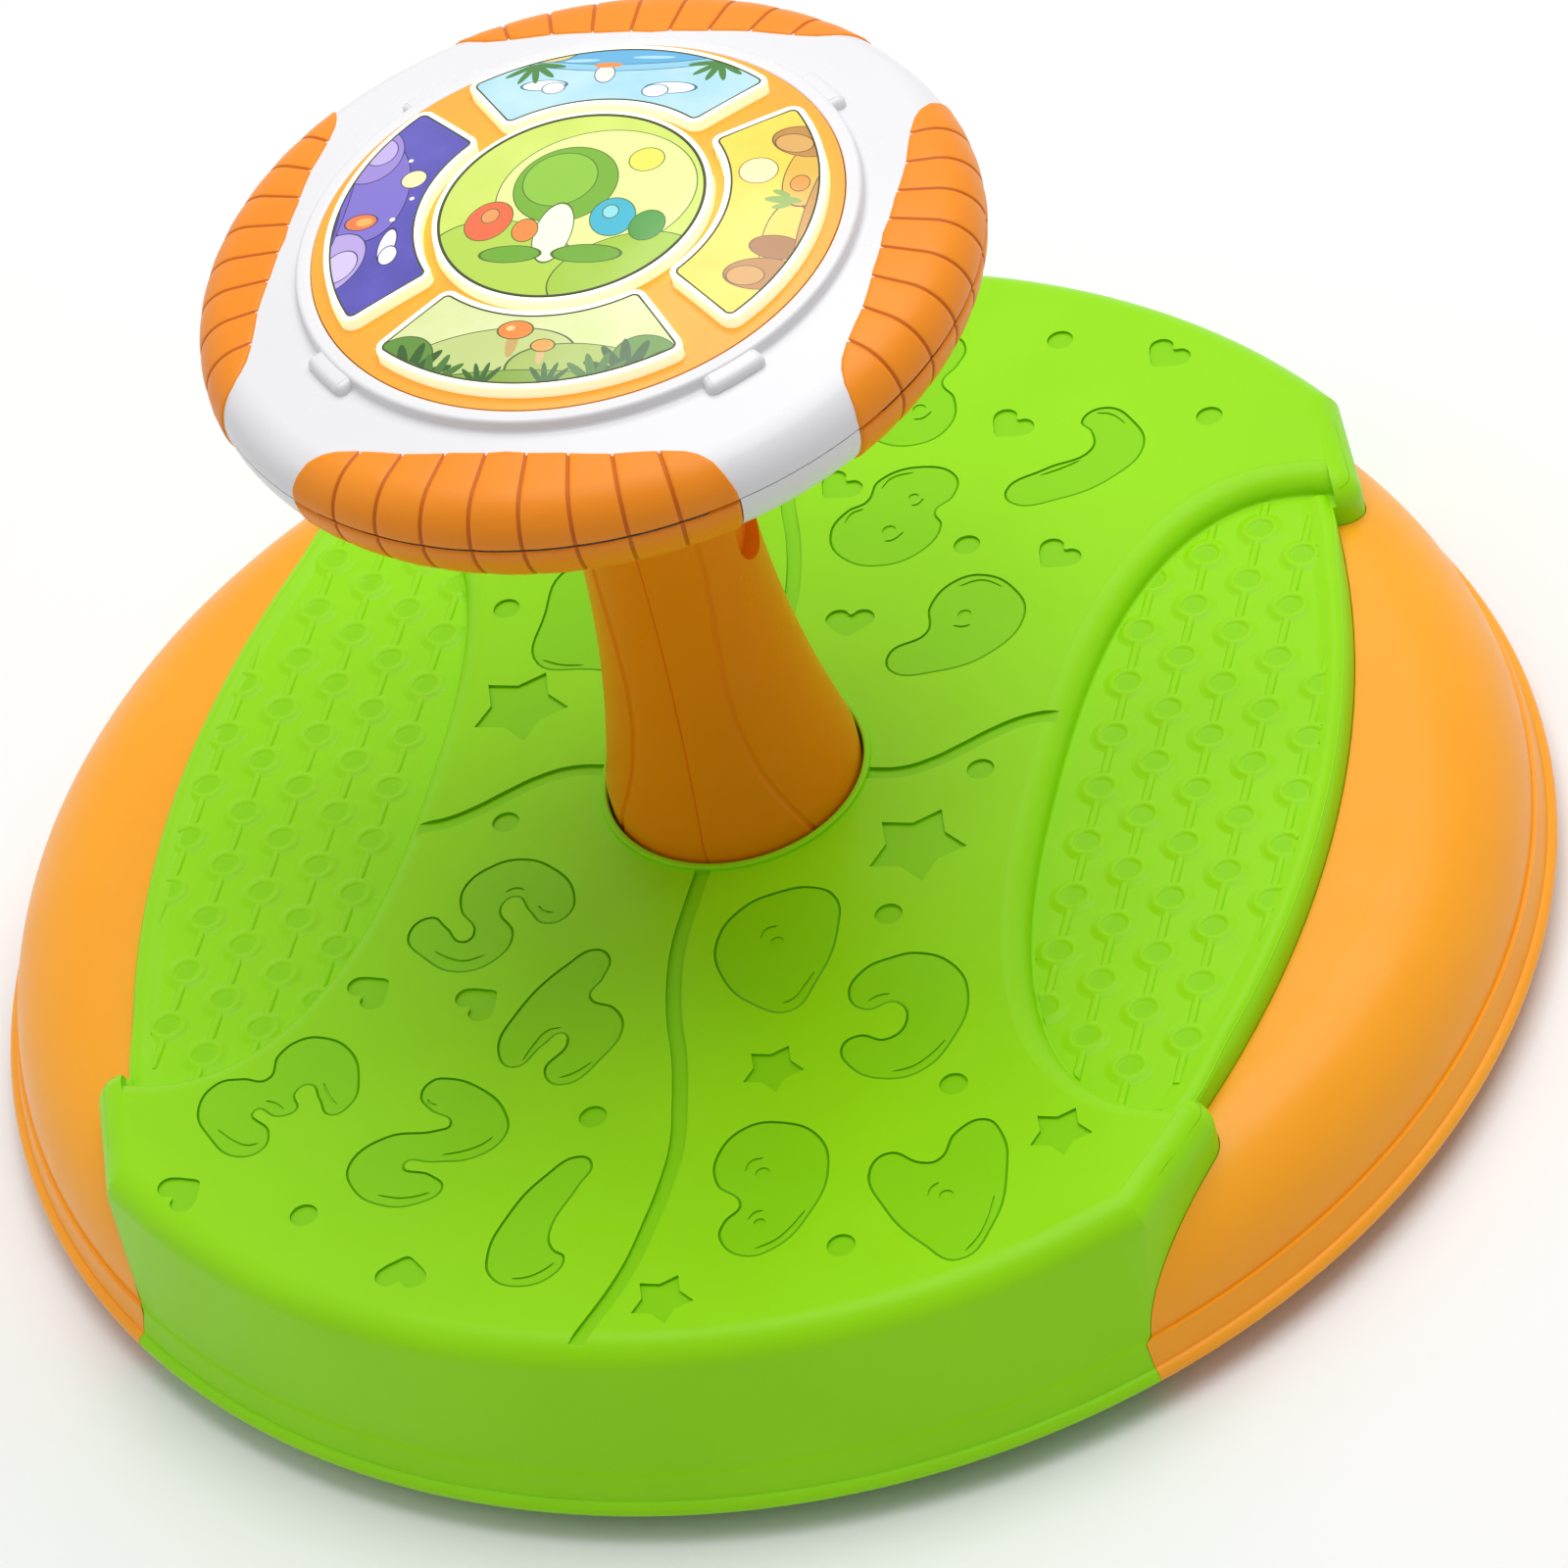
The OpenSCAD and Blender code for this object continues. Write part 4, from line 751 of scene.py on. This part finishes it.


# painted shade in the engraved recesses: part on flat floors, full on steep walls
def recessShadeShare(face):
    depth = seat["top"] * mm - face.center.z
    if face.center.xy.length >= recessShadeMark["reach"] * mm or depth <= recessShadeMark["least"] * mm:
        return 0.0
    if face.normal.z > recessShadeMark["flat"] and depth < recessShadeMark["floorDeep"] * mm:
        return recessShadeMark["floorShade"]
    isWall = abs(face.normal.z) < recessShadeMark["steep"] and depth < recessShadeMark["wallDeep"] * mm
    return 1.0 if isWall else 0.0


deck = makeDeck()
# painted shade goes on the engraved recesses
markPaintedShade(deck, recessShadeShare)
dress(deck, "seat", "green_plastic", "deck")
print("deck moulded", len(deck.data.polygons))


# ribs, sleeve and screw tabs under the deck, from the solid
def makeDeckUnder():
    bm = bmesh.new()
    bm.from_mesh(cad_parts["deck"].data)
    bmesh.ops.remove_doubles(bm, verts=bm.verts, dist=1e-6)
    under = makeObject(bm, "deckUnderside")
    carve(under, makeInside(0.4), "INTERSECT")
    return under


deckUnder = makeDeckUnder()
dress(deckUnder, "seat", "green_plastic")
print("deck underside", len(deckUnder.data.polygons))

collar = {"in": 36.8, "out": 38.9, "top": 65.3, "low": 60.0, "round": 0.7}


def makeCollar():
    top = collar["top"] - collar["round"]
    profile = [(collar["in"], collar["low"]), (collar["out"], collar["low"])]
    profile += arcPoints(collar["out"] - collar["round"], top, collar["round"], 0, 90, 6)
    profile += arcPoints(collar["in"] + collar["round"], top, collar["round"], 90, 180, 6)
    return makeObject(spinProfile(profile, 144, closed=True), "deckCollar")


dress(makeCollar(), "seat", "green_plastic")

# footrest tread: rows of cupped bumps joined by thin ridges, and the rolled outer rim
tread = {"rows": (104.3, 118.0, 131.9, 145.9, 160.2), "pitch": 20.8, "shift": 1.6, "end": 132.0,
         "ridge": 1.3, "ridgeEnd": 4.7, "rimIn": 6.8, "under": 1.2, "cup": 0.2, "cupShade": 0.27}
# radius and height round a cup, share of half width and height up a ridge
cupShape = ((0, -0.3), (7.0, -0.3), (6.9, 0.02), (6.3, 0.16), (5.6, 0.46), (5.0, 0.74), (4.5, 0.86),
            (4.1, 0.82), (3.6, 0.55), (3.25, 0.26), (3.05, tread["cup"]), (0, tread["cup"]))
ridgeShape = ((1.0, -0.3), (1.0, 0.0), (0.75, 0.45), (0.3, 0.72))


def treadPlaces():
    for index, x in enumerate(tread["rows"]):
        for count in range(-7, 8):
            y = (count + 0.5 * (index % 2)) * tread["pitch"] + tread["shift"]
            if abs(y) < tread["end"]:
                yield x, y


# a cup is left out where more than half of it would lie under the ledge or the rim
def onTread(x, y):
    across = max(rest["tipX"] - x, 0.0) / (rest["tipX"] - rest["inX"])
    along = abs(y) / rest["tipY"]
    inRim = hypot(x - rest["arcX"], y) < rest["arc"] - tread["rimIn"]
    return inRim and across ** (2 / rest["power"]) + along ** (2 / rest["power"]) < 1


# turns a closed mesh that a cut left inside out
def faceOut(bm):
    bm.normal_update()
    if sum(f.calc_area() * f.normal.dot(f.calc_center_median()) for f in bm.faces) < 0:
        bmesh.ops.reverse_faces(bm, faces=bm.faces)


def makeTread(side):
    bumps = bmesh.new()
    ridges = bmesh.new()
    floor = rest["floor"]
    for x, y in treadPlaces():
        if onTread(x, y):
            cup = spinProfile(cupShape, 24)
            faceOut(cup)
            bmesh.ops.translate(cup, verts=cup.verts, vec=(side * x * mm, side * y * mm, floor * mm))
            addTo(bumps, cup)
        first, last = y + tread["ridgeEnd"], y + tread["pitch"] - tread["ridgeEnd"]
        outlines = []
        for share, z in ridgeShape:
            near, away = x - share * tread["ridge"], x + share * tread["ridge"]
            outlines.append(([(near, first), (away, first), (away, last), (near, last)], floor + z))
        ridge = bmesh.new()
        stackLoops(ridge, outlines)
        bmesh.ops.scale(ridge, verts=ridge.verts, vec=(side, side, 1))
        alignFaces(ridge)
        faceOut(ridge)
        addTo(ridges, ridge)
    joined = bmesh.new()
    outline = restOutline(side, -tread["under"], tread["under"] - tread["rimIn"])
    for piece in (bumps, ridges):
        made = makeObject(piece, "treadPart")
        carve(made, makeObject(blockFrom([(outline, 50), (outline, 70)]), "treadEdge"), "INTERSECT")
        joined.from_mesh(made.data)
        bpy.data.objects.remove(made)
    faceOut(joined)
    return makeObject(joined, "footrestTread" + sideName(side))


# cup floors take a little painted shade
def cupShadeShare(face):
    level = (rest["floor"] + tread["cup"]) * mm
    isCup = face.normal.z > 0.999 and abs(face.center.z - level) < 0.02 * mm
    return tread["cupShade"] if isCup else 0.0


# rim rows: inset at full roll, inset by the noses, height; the last rows run back inside the wall
rimRows = [(10.0, 10.0, 56.9), (8.6, 8.2, 57.1), (7.4, 6.6, 57.42), (6.3, 5.2, 57.76), (5.4, 4.3, 57.98)]
for turn, tight in ((90, 3.6), (78, 2.4), (66, 1.2), (54, 0.14), (42, 0.02), (31, 0.0), (21, 0.0), (12, 0.0)):
    lean = radians(turn)
    rimRows.append((roll["deep"] * (1 - cos(lean)), tight, roll["foot"] + roll["tall"] * sin(lean)))
rimRows += [(0.7, 0.6, 51.5), (1.3, 0.9, 53.0), (2.4, 1.6, 54.8), (4.2, 3.0, 56.0), (10.0, 10.0, 56.0)]


def makeRim(side):
    half = degrees(asin(rest["tipY"] / rest["arc"]))
    columns = roll["columns"]

    def place(col, row):
        wide, tight, z = rimRows[row % len(rimRows)]
        turn = radians(-half + 2 * half * col / (columns - 1))
        share = rollShare(rest["arc"] * sin(turn))
        reach = rest["arc"] - (wide * share + tight * (1 - share)) + roll["proud"]
        return (side * (rest["arcX"] + reach * cos(turn)), side * reach * sin(turn), z)

    bm = mapGrid(columns, len(rimRows) + 1, place)
    bmesh.ops.remove_doubles(bm, verts=bm.verts, dist=1e-7)
    fillHoles(bm)
    alignFaces(bm)
    return makeObject(bm, "footrestRim" + sideName(side))


for side in (1, -1):
    bumps = makeTread(side)
    # painted shade on the cup floors
    markPaintedShade(bumps, cupShadeShare)
    for piece in (bumps, makeRim(side)):
        dress(piece, "seat", "green_plastic", angle=50.0)
print("footrests treaded")

# column halves with the shaped side grooves and the pockets for the wheel's screws
column = {"radius": 24.6, "foot": 49.7, "top": 234.0, "flare": 398.0, "flareTop": 165.0, "maxFoot": 36.0,
          "wall": 6.0, "rows": 84, "edge": 89.97, "pocketWide": 16.8, "pocketX": 20.5, "pocketFoot": 150.0,
          "pocketTop": 250.0, "pocketOut": 45.0}
# groove's angle from the parting line at each height
grooveLine = ((234, 39.5), (172, 39.5), (160, 39), (150, 38), (134, 34), (118, 31), (108, 31.3), (101, 32.5),
              (89, 36), (80, 41), (72, 46), (66, 50), (49, 62))
# sections across the groove and the parting edge: distance round the column, depth
grooveCut = ((-1.5, 0.0), (-0.95, -0.12), (-0.55, -0.55), (0.0, -0.7), (0.55, -0.55), (0.95, -0.12),
             (1.5, 0.0))
partEdge = ((0.0, -0.45), (0.25, -0.12), (0.6, 0.0))


def columnRadius(z):
    drop = max(column["flareTop"] - z, 0.0)
    radius = column["radius"] + column["flare"] - sqrt(column["flare"] ** 2 - drop * drop)
    return min(radius, column["maxFoot"])


def readLine(table, value):
    for (first, low), (last, high) in zip(table, table[1:]):
        if min(first, last) <= value <= max(first, last):
            return low + (high - low) * (value - first) / (last - first)
    return table[-1][1]


# each station: kind, side, step, depth
def columnStations():
    stations = [("part", -1, step, sink) for step, sink in partEdge]
    stations += [("mix", -1, share / 7, 0.0) for share in range(1, 7)]
    stations += [("groove", -1, step, sink) for step, sink in grooveCut]
    stations += [("middle", 0, share / 20, 0.0) for share in range(1, 20)]
    stations += [("groove", 1, step, sink) for step, sink in grooveCut]
    stations += [("mix", 1, 1 - share / 7, 0.0) for share in range(1, 7)]
    return stations + [("part", 1, -step, sink) for step, sink in partEdge[::-1]]


def makeColumn(side):
    stations = columnStations()
    rows = column["rows"]
    edge = column["edge"]

    def place(col, row):
        z = column["foot"] + (column["top"] - column["foot"]) * row / (rows - 1)
        radius = columnRadius(z)
        kind, sign, step, sink = stations[col]
        perMm = degrees(1 / radius)
        groove = 90 - readLine(grooveLine, z)
        grooveHalf = grooveCut[-1][0] * perMm
        first, last = groove + grooveHalf, edge - partEdge[-1][0] * perMm
        if kind == "part":
            turn = sign * edge + step * perMm
        elif kind == "groove":
            turn = sign * groove + step * perMm
        elif kind == "mix":
            turn = sign * (last + (first - last) * step)
        else:
            turn = (-1 + 2 * step) * (groove - grooveHalf)
        turn = radians(turn + (0 if side > 0 else 180))
        return ((radius + sink) * cos(turn), (radius + sink) * sin(turn), z)

    bm = mapGrid(len(stations), rows, place)
    alignFaces(bm)
    middle = bm.faces[len(bm.faces) // 2]
    if middle.normal.x * side < 0:
        bmesh.ops.reverse_faces(bm, faces=bm.faces)
    bmesh.ops.solidify(bm, geom=bm.faces[:], thickness=column["wall"] * mm)
    alignFaces(bm)
    made = makeObject(bm, "column" + sideName(side))
    half = column["pocketWide"] / 2
    shape = [(half, column["pocketTop"]), (-half, column["pocketTop"])]
    shape += arcPoints(0, column["pocketFoot"] + half, half, 180, 360, 25)
    pocket = bmesh.new()
    stackLoops(pocket, [(shape, column["pocketX"]), (shape, column["pocketOut"])])
    toSide = Matrix(((0, 0, side), (side, 0, 0), (0, 1, 0)))
    bmesh.ops.transform(pocket, matrix=toSide.to_4x4(), verts=pocket.verts)
    alignFaces(pocket)
    carve(made, makeObject(pocket, "pocketCutter"))
    return made


for side, nodeName in ((1, "column_right"), (-1, "column_left")):
    dress(makeColumn(side), "stand", "orange_plastic", nodeName, finish=finishes["column"], angle=40.0)
print("column halves made")

# hand wheel: white upper shell with the raised ring and lugs, ribbed grips over the rim
wheel = {"rimX": 93.6, "rim": 12.0, "lowX": 88.1, "low": 17.5, "part": 251.5, "slope": 6.8, "wall": 3.0,
         "ring": 76.3, "ringTop": 269.25, "ringBead": 1.2, "hole": 72.0, "seat": 265.65, "shelf": 70.4}
lug = {"half": 6.4, "in": 74.0, "out": 80.6, "drop": 0.4, "round": 2.0}
grip = {"half": 35.0, "pitch": 7.5, "inX": 82.0, "lowCorner": 5.0, "proud": 0.6, "channel": 0.55,
        "radius": 100.0, "lowTurn": 82.5, "gap": 0.35, "skin": 0.8, "rows": 22}


def wheelTopZ(radius):
    slope = radians(wheel["slope"])
    edge = wheel["rimX"] + wheel["rim"] * sin(slope)
    return wheel["part"] + wheel["rim"] * cos(slope) + (edge - radius) * tan(slope)


def makeWheelTop():
    slope = radians(wheel["slope"])
    part = wheel["part"]
    ring = wheel["ring"]
    rimOut = wheel["rimX"] + wheel["rim"]
    outer = [(rimOut - 0.5, part + 0.12), (rimOut - 0.12, part + 0.3)]
    outer += arcPoints(wheel["rimX"], part, wheel["rim"], 2.6, 90 - wheel["slope"], 16)
    foot = wheelTopZ(ring + 1.5)
    outer += [(ring + 1.5, foot), (ring + 0.6, foot + 0.35), (ring + 0.15, foot + 0.95)]
    bead = wheel["ringBead"]
    outer += arcPoints(ring - bead, wheel["ringTop"] - bead, bead, 0, 90, 7)
    outer += arcPoints(wheel["hole"] + 0.6, wheel["ringTop"] - 0.6, 0.6, 90, 180, 5)
    outer += [(wheel["hole"], wheel["seat"]), (wheel["shelf"], wheel["seat"])]
    inner = arcPoints(wheel["rimX"], part, wheel["rim"] - wheel["wall"], 90 - wheel["slope"], 1.0, 12)
    low = inner[0][1] + (inner[0][0] - wheel["shelf"]) * tan(slope)
    outer += [(wheel["shelf"], low)] + inner
    return makeObject(spinProfile(outer, 200, closed=True), "wheelTop")


def makeLugs():
    bm = bmesh.new()
    for quarter in range(4):
        base = wheelTopZ(lug["out"]) - 1.5
        top = wheel["ringTop"] - lug["drop"]
        piece = bmesh.new()
        corners = [(lug["in"], base), (lug["out"], base), (lug["out"], top - 0.6), (lug["in"], top)]
        face = piece.faces.new([piece.verts.new((r * mm, 0, z * mm)) for r, z in corners])
        start = Matrix.Rotation(radians(45 + 90 * quarter - lug["half"]), 3, "Z")
        bmesh.ops.rotate(piece, verts=piece.verts, cent=(0, 0, 0), matrix=start)
        bmesh.ops.spin(piece, geom=[face] + face.edges[:] + face.verts[:], cent=(0, 0, 0), axis=(0, 0, 1),
                       angle=radians(2 * lug["half"]), steps=10)
        fillHoles(piece)
        bmesh.ops.remove_doubles(piece, verts=piece.verts, dist=1e-6)
        alignFaces(piece)
        sharp = [e for e in piece.edges if len(e.link_faces) == 2 and e.calc_face_angle() > 0.6]
        bmesh.ops.bevel(piece, geom=sharp, offset=lug["round"] * mm, offset_type="OFFSET", affect="EDGES",
                        segments=5, profile=0.5, material=-1)
        addTo(bm, piece)
    return makeObject(bm, "wheelLugs")


# where a pad's inner edge starts at each angle, and how the edge rises
gripStart = ((0, 0.5), (10, 2.0), (16, 4.3), (19, 5.5), (23, 7.0), (26.8, 9.0), (29.9, 11.6), (31.6, 13.9),
             (33.2, 17.7), (34.1, 22.3), (34.7, 26.7), (35, 29.0))
gripRows = ((0.0, 0.0), (0.35, 0.6), (0.9, 0.9), (1.6, 1.0))


# each station: angle, height share, and whether the share is a groove's
def gripColumns():
    perMm = degrees(1 / grip["radius"])
    wide = grip["channel"] * perMm
    end = [(turn, 1.0) for turn in (30.8, 31.7, 32.5, 33.2, 33.8)]
    end += [(grip["half"] - inset * perMm, share) for inset, share in gripRows[::-1]]
    ribs = []
    for count in range(-4, 5):
        turn = count * grip["pitch"]
        ribs += [(turn + step * grip["pitch"], share, True)
                 for step, share in ((-0.4, 1.0), (-0.22, 1.1), (0.0, 1.15), (0.22, 1.1), (0.4, 1.0))]
        if count < 4:
            turn += grip["pitch"] / 2
            ribs += [(turn + step * wide, share, True)
                     for step, share in ((-1.0, 0.85), (-0.4, 0.05), (0.4, 0.05), (1.0, 0.85))]
    stations = [(-turn, share, False) for turn, share in end[::-1]]
    stations += [station for station in ribs if abs(station[0]) < 30.5]
    return stations + [(turn, share, False) for turn, share in end]


def cornerStart(turn):
    corner = grip["lowCorner"]
    left = max((grip["half"] - abs(turn)) * radians(1) * grip["radius"], 0.0)
    if left >= corner:
        return 0.0
    return corner - sqrt(max(corner ** 2 - (corner - left) ** 2, 0.0))


def gripHeight(share, isGroove, rowLift, deep):
    if isGroove:
        return min(grip["proud"] * share, -deep + (grip["proud"] * share + deep) * rowLift)
    return -deep + (grip["proud"] + deep) * min(share, rowLift)


def makeGrip(quarter, upper):
    stations = gripColumns()
    rows = grip["rows"]
    slope = radians(wheel["slope"])
    edge = wheel["rimX"] + wheel["rim"] * sin(slope)
    flatRun = (edge - grip["inX"]) / cos(slope)
    arcRun = wheel["rim"] * (pi / 2 - slope) - grip["gap"]
    lowTurn = radians(grip["lowTurn"])
    total = flatRun + arcRun if upper else wheel["low"] * lowTurn - grip["gap"]

    def along(run):
        if not upper:
            return (wheel["lowX"], wheel["part"], wheel["low"], run / wheel["low"] - lowTurn)
        if run <= flatRun:
            radius = grip["inX"] + run * cos(slope)
            return (radius, wheelTopZ(radius), 0.0, pi / 2 - slope)
        turn = pi / 2 - slope - (run - flatRun) / wheel["rim"]
        return (wheel["rimX"], wheel["part"], wheel["rim"], turn)

    def place(col, row):
        turn, share, isGroove = stations[col]
        start = readLine(gripStart, min(abs(turn), grip["half"])) if upper else cornerStart(turn)
        room = total - start
        footFull = gripRows[-1][0]
        foot = min(footFull, 0.3 * room)
        if row < len(gripRows):
            inset, rowLift = gripRows[row]
            run = start + inset * foot / footFull
        elif row < rows - 2:
            run = start + foot + (room - foot - min(0.8, 0.2 * room)) * (row - 3) / (rows - 6)
            rowLift = 1.0
        else:
            run, rowLift = ((total - min(0.3, 0.08 * room), 0.85), (total, 0.3))[row - rows + 2]
        cx, cz, reach, tilt = along(run)
        lift = gripHeight(share, isGroove, rowLift, 0.4 if upper else 1.3)
        if isGroove and row >= rows - 2:
            lift = max(lift, 0.05)
        r = cx + (reach + lift) * cos(tilt)
        z = cz + (reach + lift) * sin(tilt)
        angle = radians(turn + 90 * quarter)
        return (r * cos(angle), r * sin(angle), z)

    bm = mapGrid(len(stations), rows, place)
    alignFaces(bm)
    spin = pi / 2 * quarter
    outward = Vector((cos(spin), sin(spin), 0.6 if upper else -0.6))
    if sum(f.normal.dot(outward) for f in bm.faces) < 0:
        bmesh.ops.reverse_faces(bm, faces=bm.faces)
    bmesh.ops.solidify(bm, geom=bm.faces[:], thickness=grip["skin"] * mm)
    alignFaces(bm)
    return bm


# the channels between the ribs take painted shade
def grooveShadeShare(face):
    wide = 0.85 * grip["channel"] * degrees(1 / grip["radius"])
    turn = degrees(atan2(face.center.y, face.center.x))
    turn = (turn + 45) % 90 - 45
    off = (turn % grip["pitch"]) - grip["pitch"] / 2
    return 1.0 if abs(off) < wide and abs(turn) < 30 else 0.0


dress(makeWheelTop(), "stand", "white_plastic", "wheel_upper")
dress(makeLugs(), "stand", "white_plastic", angle=60.0)
for upper, nodeName in ((True, "grips_upper"), (False, "grips_lower")):
    pads = bmesh.new()
    for quarter in range(4):
        addTo(pads, makeGrip(quarter, upper))
    gripPads = makeObject(pads, "gripPads" + ("Upper" if upper else "Lower"))
    # painted shade in the channels between the ribs
    markPaintedShade(gripPads, grooveShadeShare)
    dress(gripPads, "stand", "grip_plastic", nodeName, angle=60.0, weighted=False)
print("hand wheel made")

# rolled edges of the lit buttons, and the line printed inside each
panel = {"hub": 37.6, "in": 41.0, "out": 67.6, "half": 39.5, "corner": 3.5, "proud": 3.1, "crown": 550.0,
         "crownTop": 273.95, "edge": 0.85, "inset": 0.75, "edgeSink": 0.75, "ink": 1.8, "inkSink": 0.1,
         "inkWide": 0.3, "hubInkWide": 0.45}


def crownZ(x, y):
    return panel["crownTop"] - panel["crown"] + sqrt(panel["crown"] ** 2 - x * x - y * y)


def tileOutline(quarter, inset):
    if quarter < 0:
        return arcPoints(0, 0, panel["hub"] - inset, 0, 357.5, 144)
    corner, half = panel["corner"], panel["half"]
    outer, inner = panel["out"] - corner, panel["in"] + corner
    outTurn = half - degrees(asin(corner / outer))
    inTurn = half - degrees(asin(corner / inner))

    def bend(reach, turn, start, stop):
        lean = radians(turn)
        return arcPoints(reach * cos(lean), reach * sin(lean), corner - inset, start, stop, 9)

    points = bend(outer, -outTurn, -half - 90, -outTurn)
    points += arcPoints(0, 0, panel["out"] - inset, 2 - outTurn, outTurn - 2, 33)
    points += bend(outer, outTurn, outTurn, half + 90) + bend(inner, inTurn, half + 90, 180 + inTurn)
    points += arcPoints(0, 0, panel["in"] + inset, inTurn - 2, 2 - inTurn, 25)
    points += bend(inner, -inTurn, 180 - inTurn, 270 - half)
    c, s = cos(radians(90 * quarter)), sin(radians(90 * quarter))
    return [(x * c - y * s, x * s + y * c) for x, y in points]


# a closed tube that follows a button's outline
def tubeAlong(quarter, inset, sink, radius, name):
    points = tileOutline(quarter, inset)
    curve = bpy.data.curves.new(name, "CURVE")
    curve.dimensions = "3D"
    curve.bevel_depth = radius * mm
    curve.bevel_resolution = 5
    spline = curve.splines.new("POLY")
    spline.points.add(len(points) - 1)
    for point, (x, y) in zip(spline.points, points):
        point.co = (x * mm, y * mm, (crownZ(x, y) + panel["proud"] - sink) * mm, 1)
    spline.use_cyclic_u = True
    made = bpy.data.objects.new(name, meshFrom(curve))
    scene.collection.objects.link(made)
    return made


for name, quarter in (("centre", -1), ("right", 0), ("back", 1), ("left", 2), ("front", 3)):
    body = "button_" + name
    pieceName = "tileEdge" + name.capitalize()
    edge = tubeAlong(quarter, panel["inset"], panel["edgeSink"], panel["edge"], pieceName)
    dress(edge, body, "tile_clear", angle=60.0, weighted=False)
    wide = panel["inkWide"] if quarter >= 0 else panel["hubInkWide"]
    ink = tubeAlong(quarter, panel["ink"], panel["inkSink"], wide, "printedLine" + name.capitalize())
    dress(ink, body, "face_" + name, finish=finishes["ink"], angle=60.0, weighted=False)
print("button edges rolled")

# solids that keep their shape take the finishes of their slots
for name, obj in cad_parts.items():
    for holder in obj.material_slots:
        wanted = holder.material.name.split(".")[0] if holder.material else ""
        if name == "bezel":
            holder.material = finishes["bezel"]
        elif wanted in finishes:
            holder.material = finishes[wanted]
        else:
            print("no finish for", name, wanted)

# studio: pale floor, big soft lamps with name, place, size and power
studio = {"floor": "#fbfbfb", "floorDrift": "#f8f8f8", "world": 0.38,
          "lamps": (("keyLamp", (0.2, 0.6, 2.25), 2.2, 45.0), ("fillLamp", (-1.6, -0.6, 1.6), 1.4, 4.0))}


def makeStudio():
    bm = bmesh.new()
    bmesh.ops.create_grid(bm, x_segments=8, y_segments=8, size=6.0)
    floor = makeObject(bm, "studioFloor")
    finish, tree, shader, place = startFinish("studioFloor")
    drift = noise(tree, place, 3.0)
    colour = mixColour(tree, drift, linear(studio["floor"]), linear(studio["floorDrift"]))
    feed(tree, shader, {"Base Color": colour, "Roughness": 0.9, "Specular IOR Level": 0.1})
    floor.data.materials.append(finish)
    world = bpy.data.worlds.new("studioSky")
    scene.world = world
    world.use_nodes = True
    sky = world.node_tree
    seen = node(sky, "ShaderNodeLightPath", {})
    shown = seen.outputs["Is Camera Ray"]
    for ray in ("Is Glossy Ray", "Is Transmission Ray"):
        shown = node(sky, "ShaderNodeMath", {0: shown, 1: seen.outputs[ray]}, operation="MAXIMUM").outputs[0]
    level = node(sky, "ShaderNodeMapRange", {"Value": shown, "To Min": studio["world"], "To Max": 1.0})
    feed(sky, sky.nodes["Background"], {"Color": (1, 1, 1, 1), "Strength": level.outputs["Result"]})
    for name, place, size, power in studio["lamps"]:
        data = bpy.data.lights.new(name, "AREA")
        data.size = size
        data.energy = power
        lamp = bpy.data.objects.new(name, data)
        lamp.location = place
        lamp.rotation_euler = (-Vector(place)).to_track_quat("-Z", "Y").to_euler()
        scene.collection.objects.link(lamp)


makeStudio()
scene.view_settings.view_transform = "Standard"
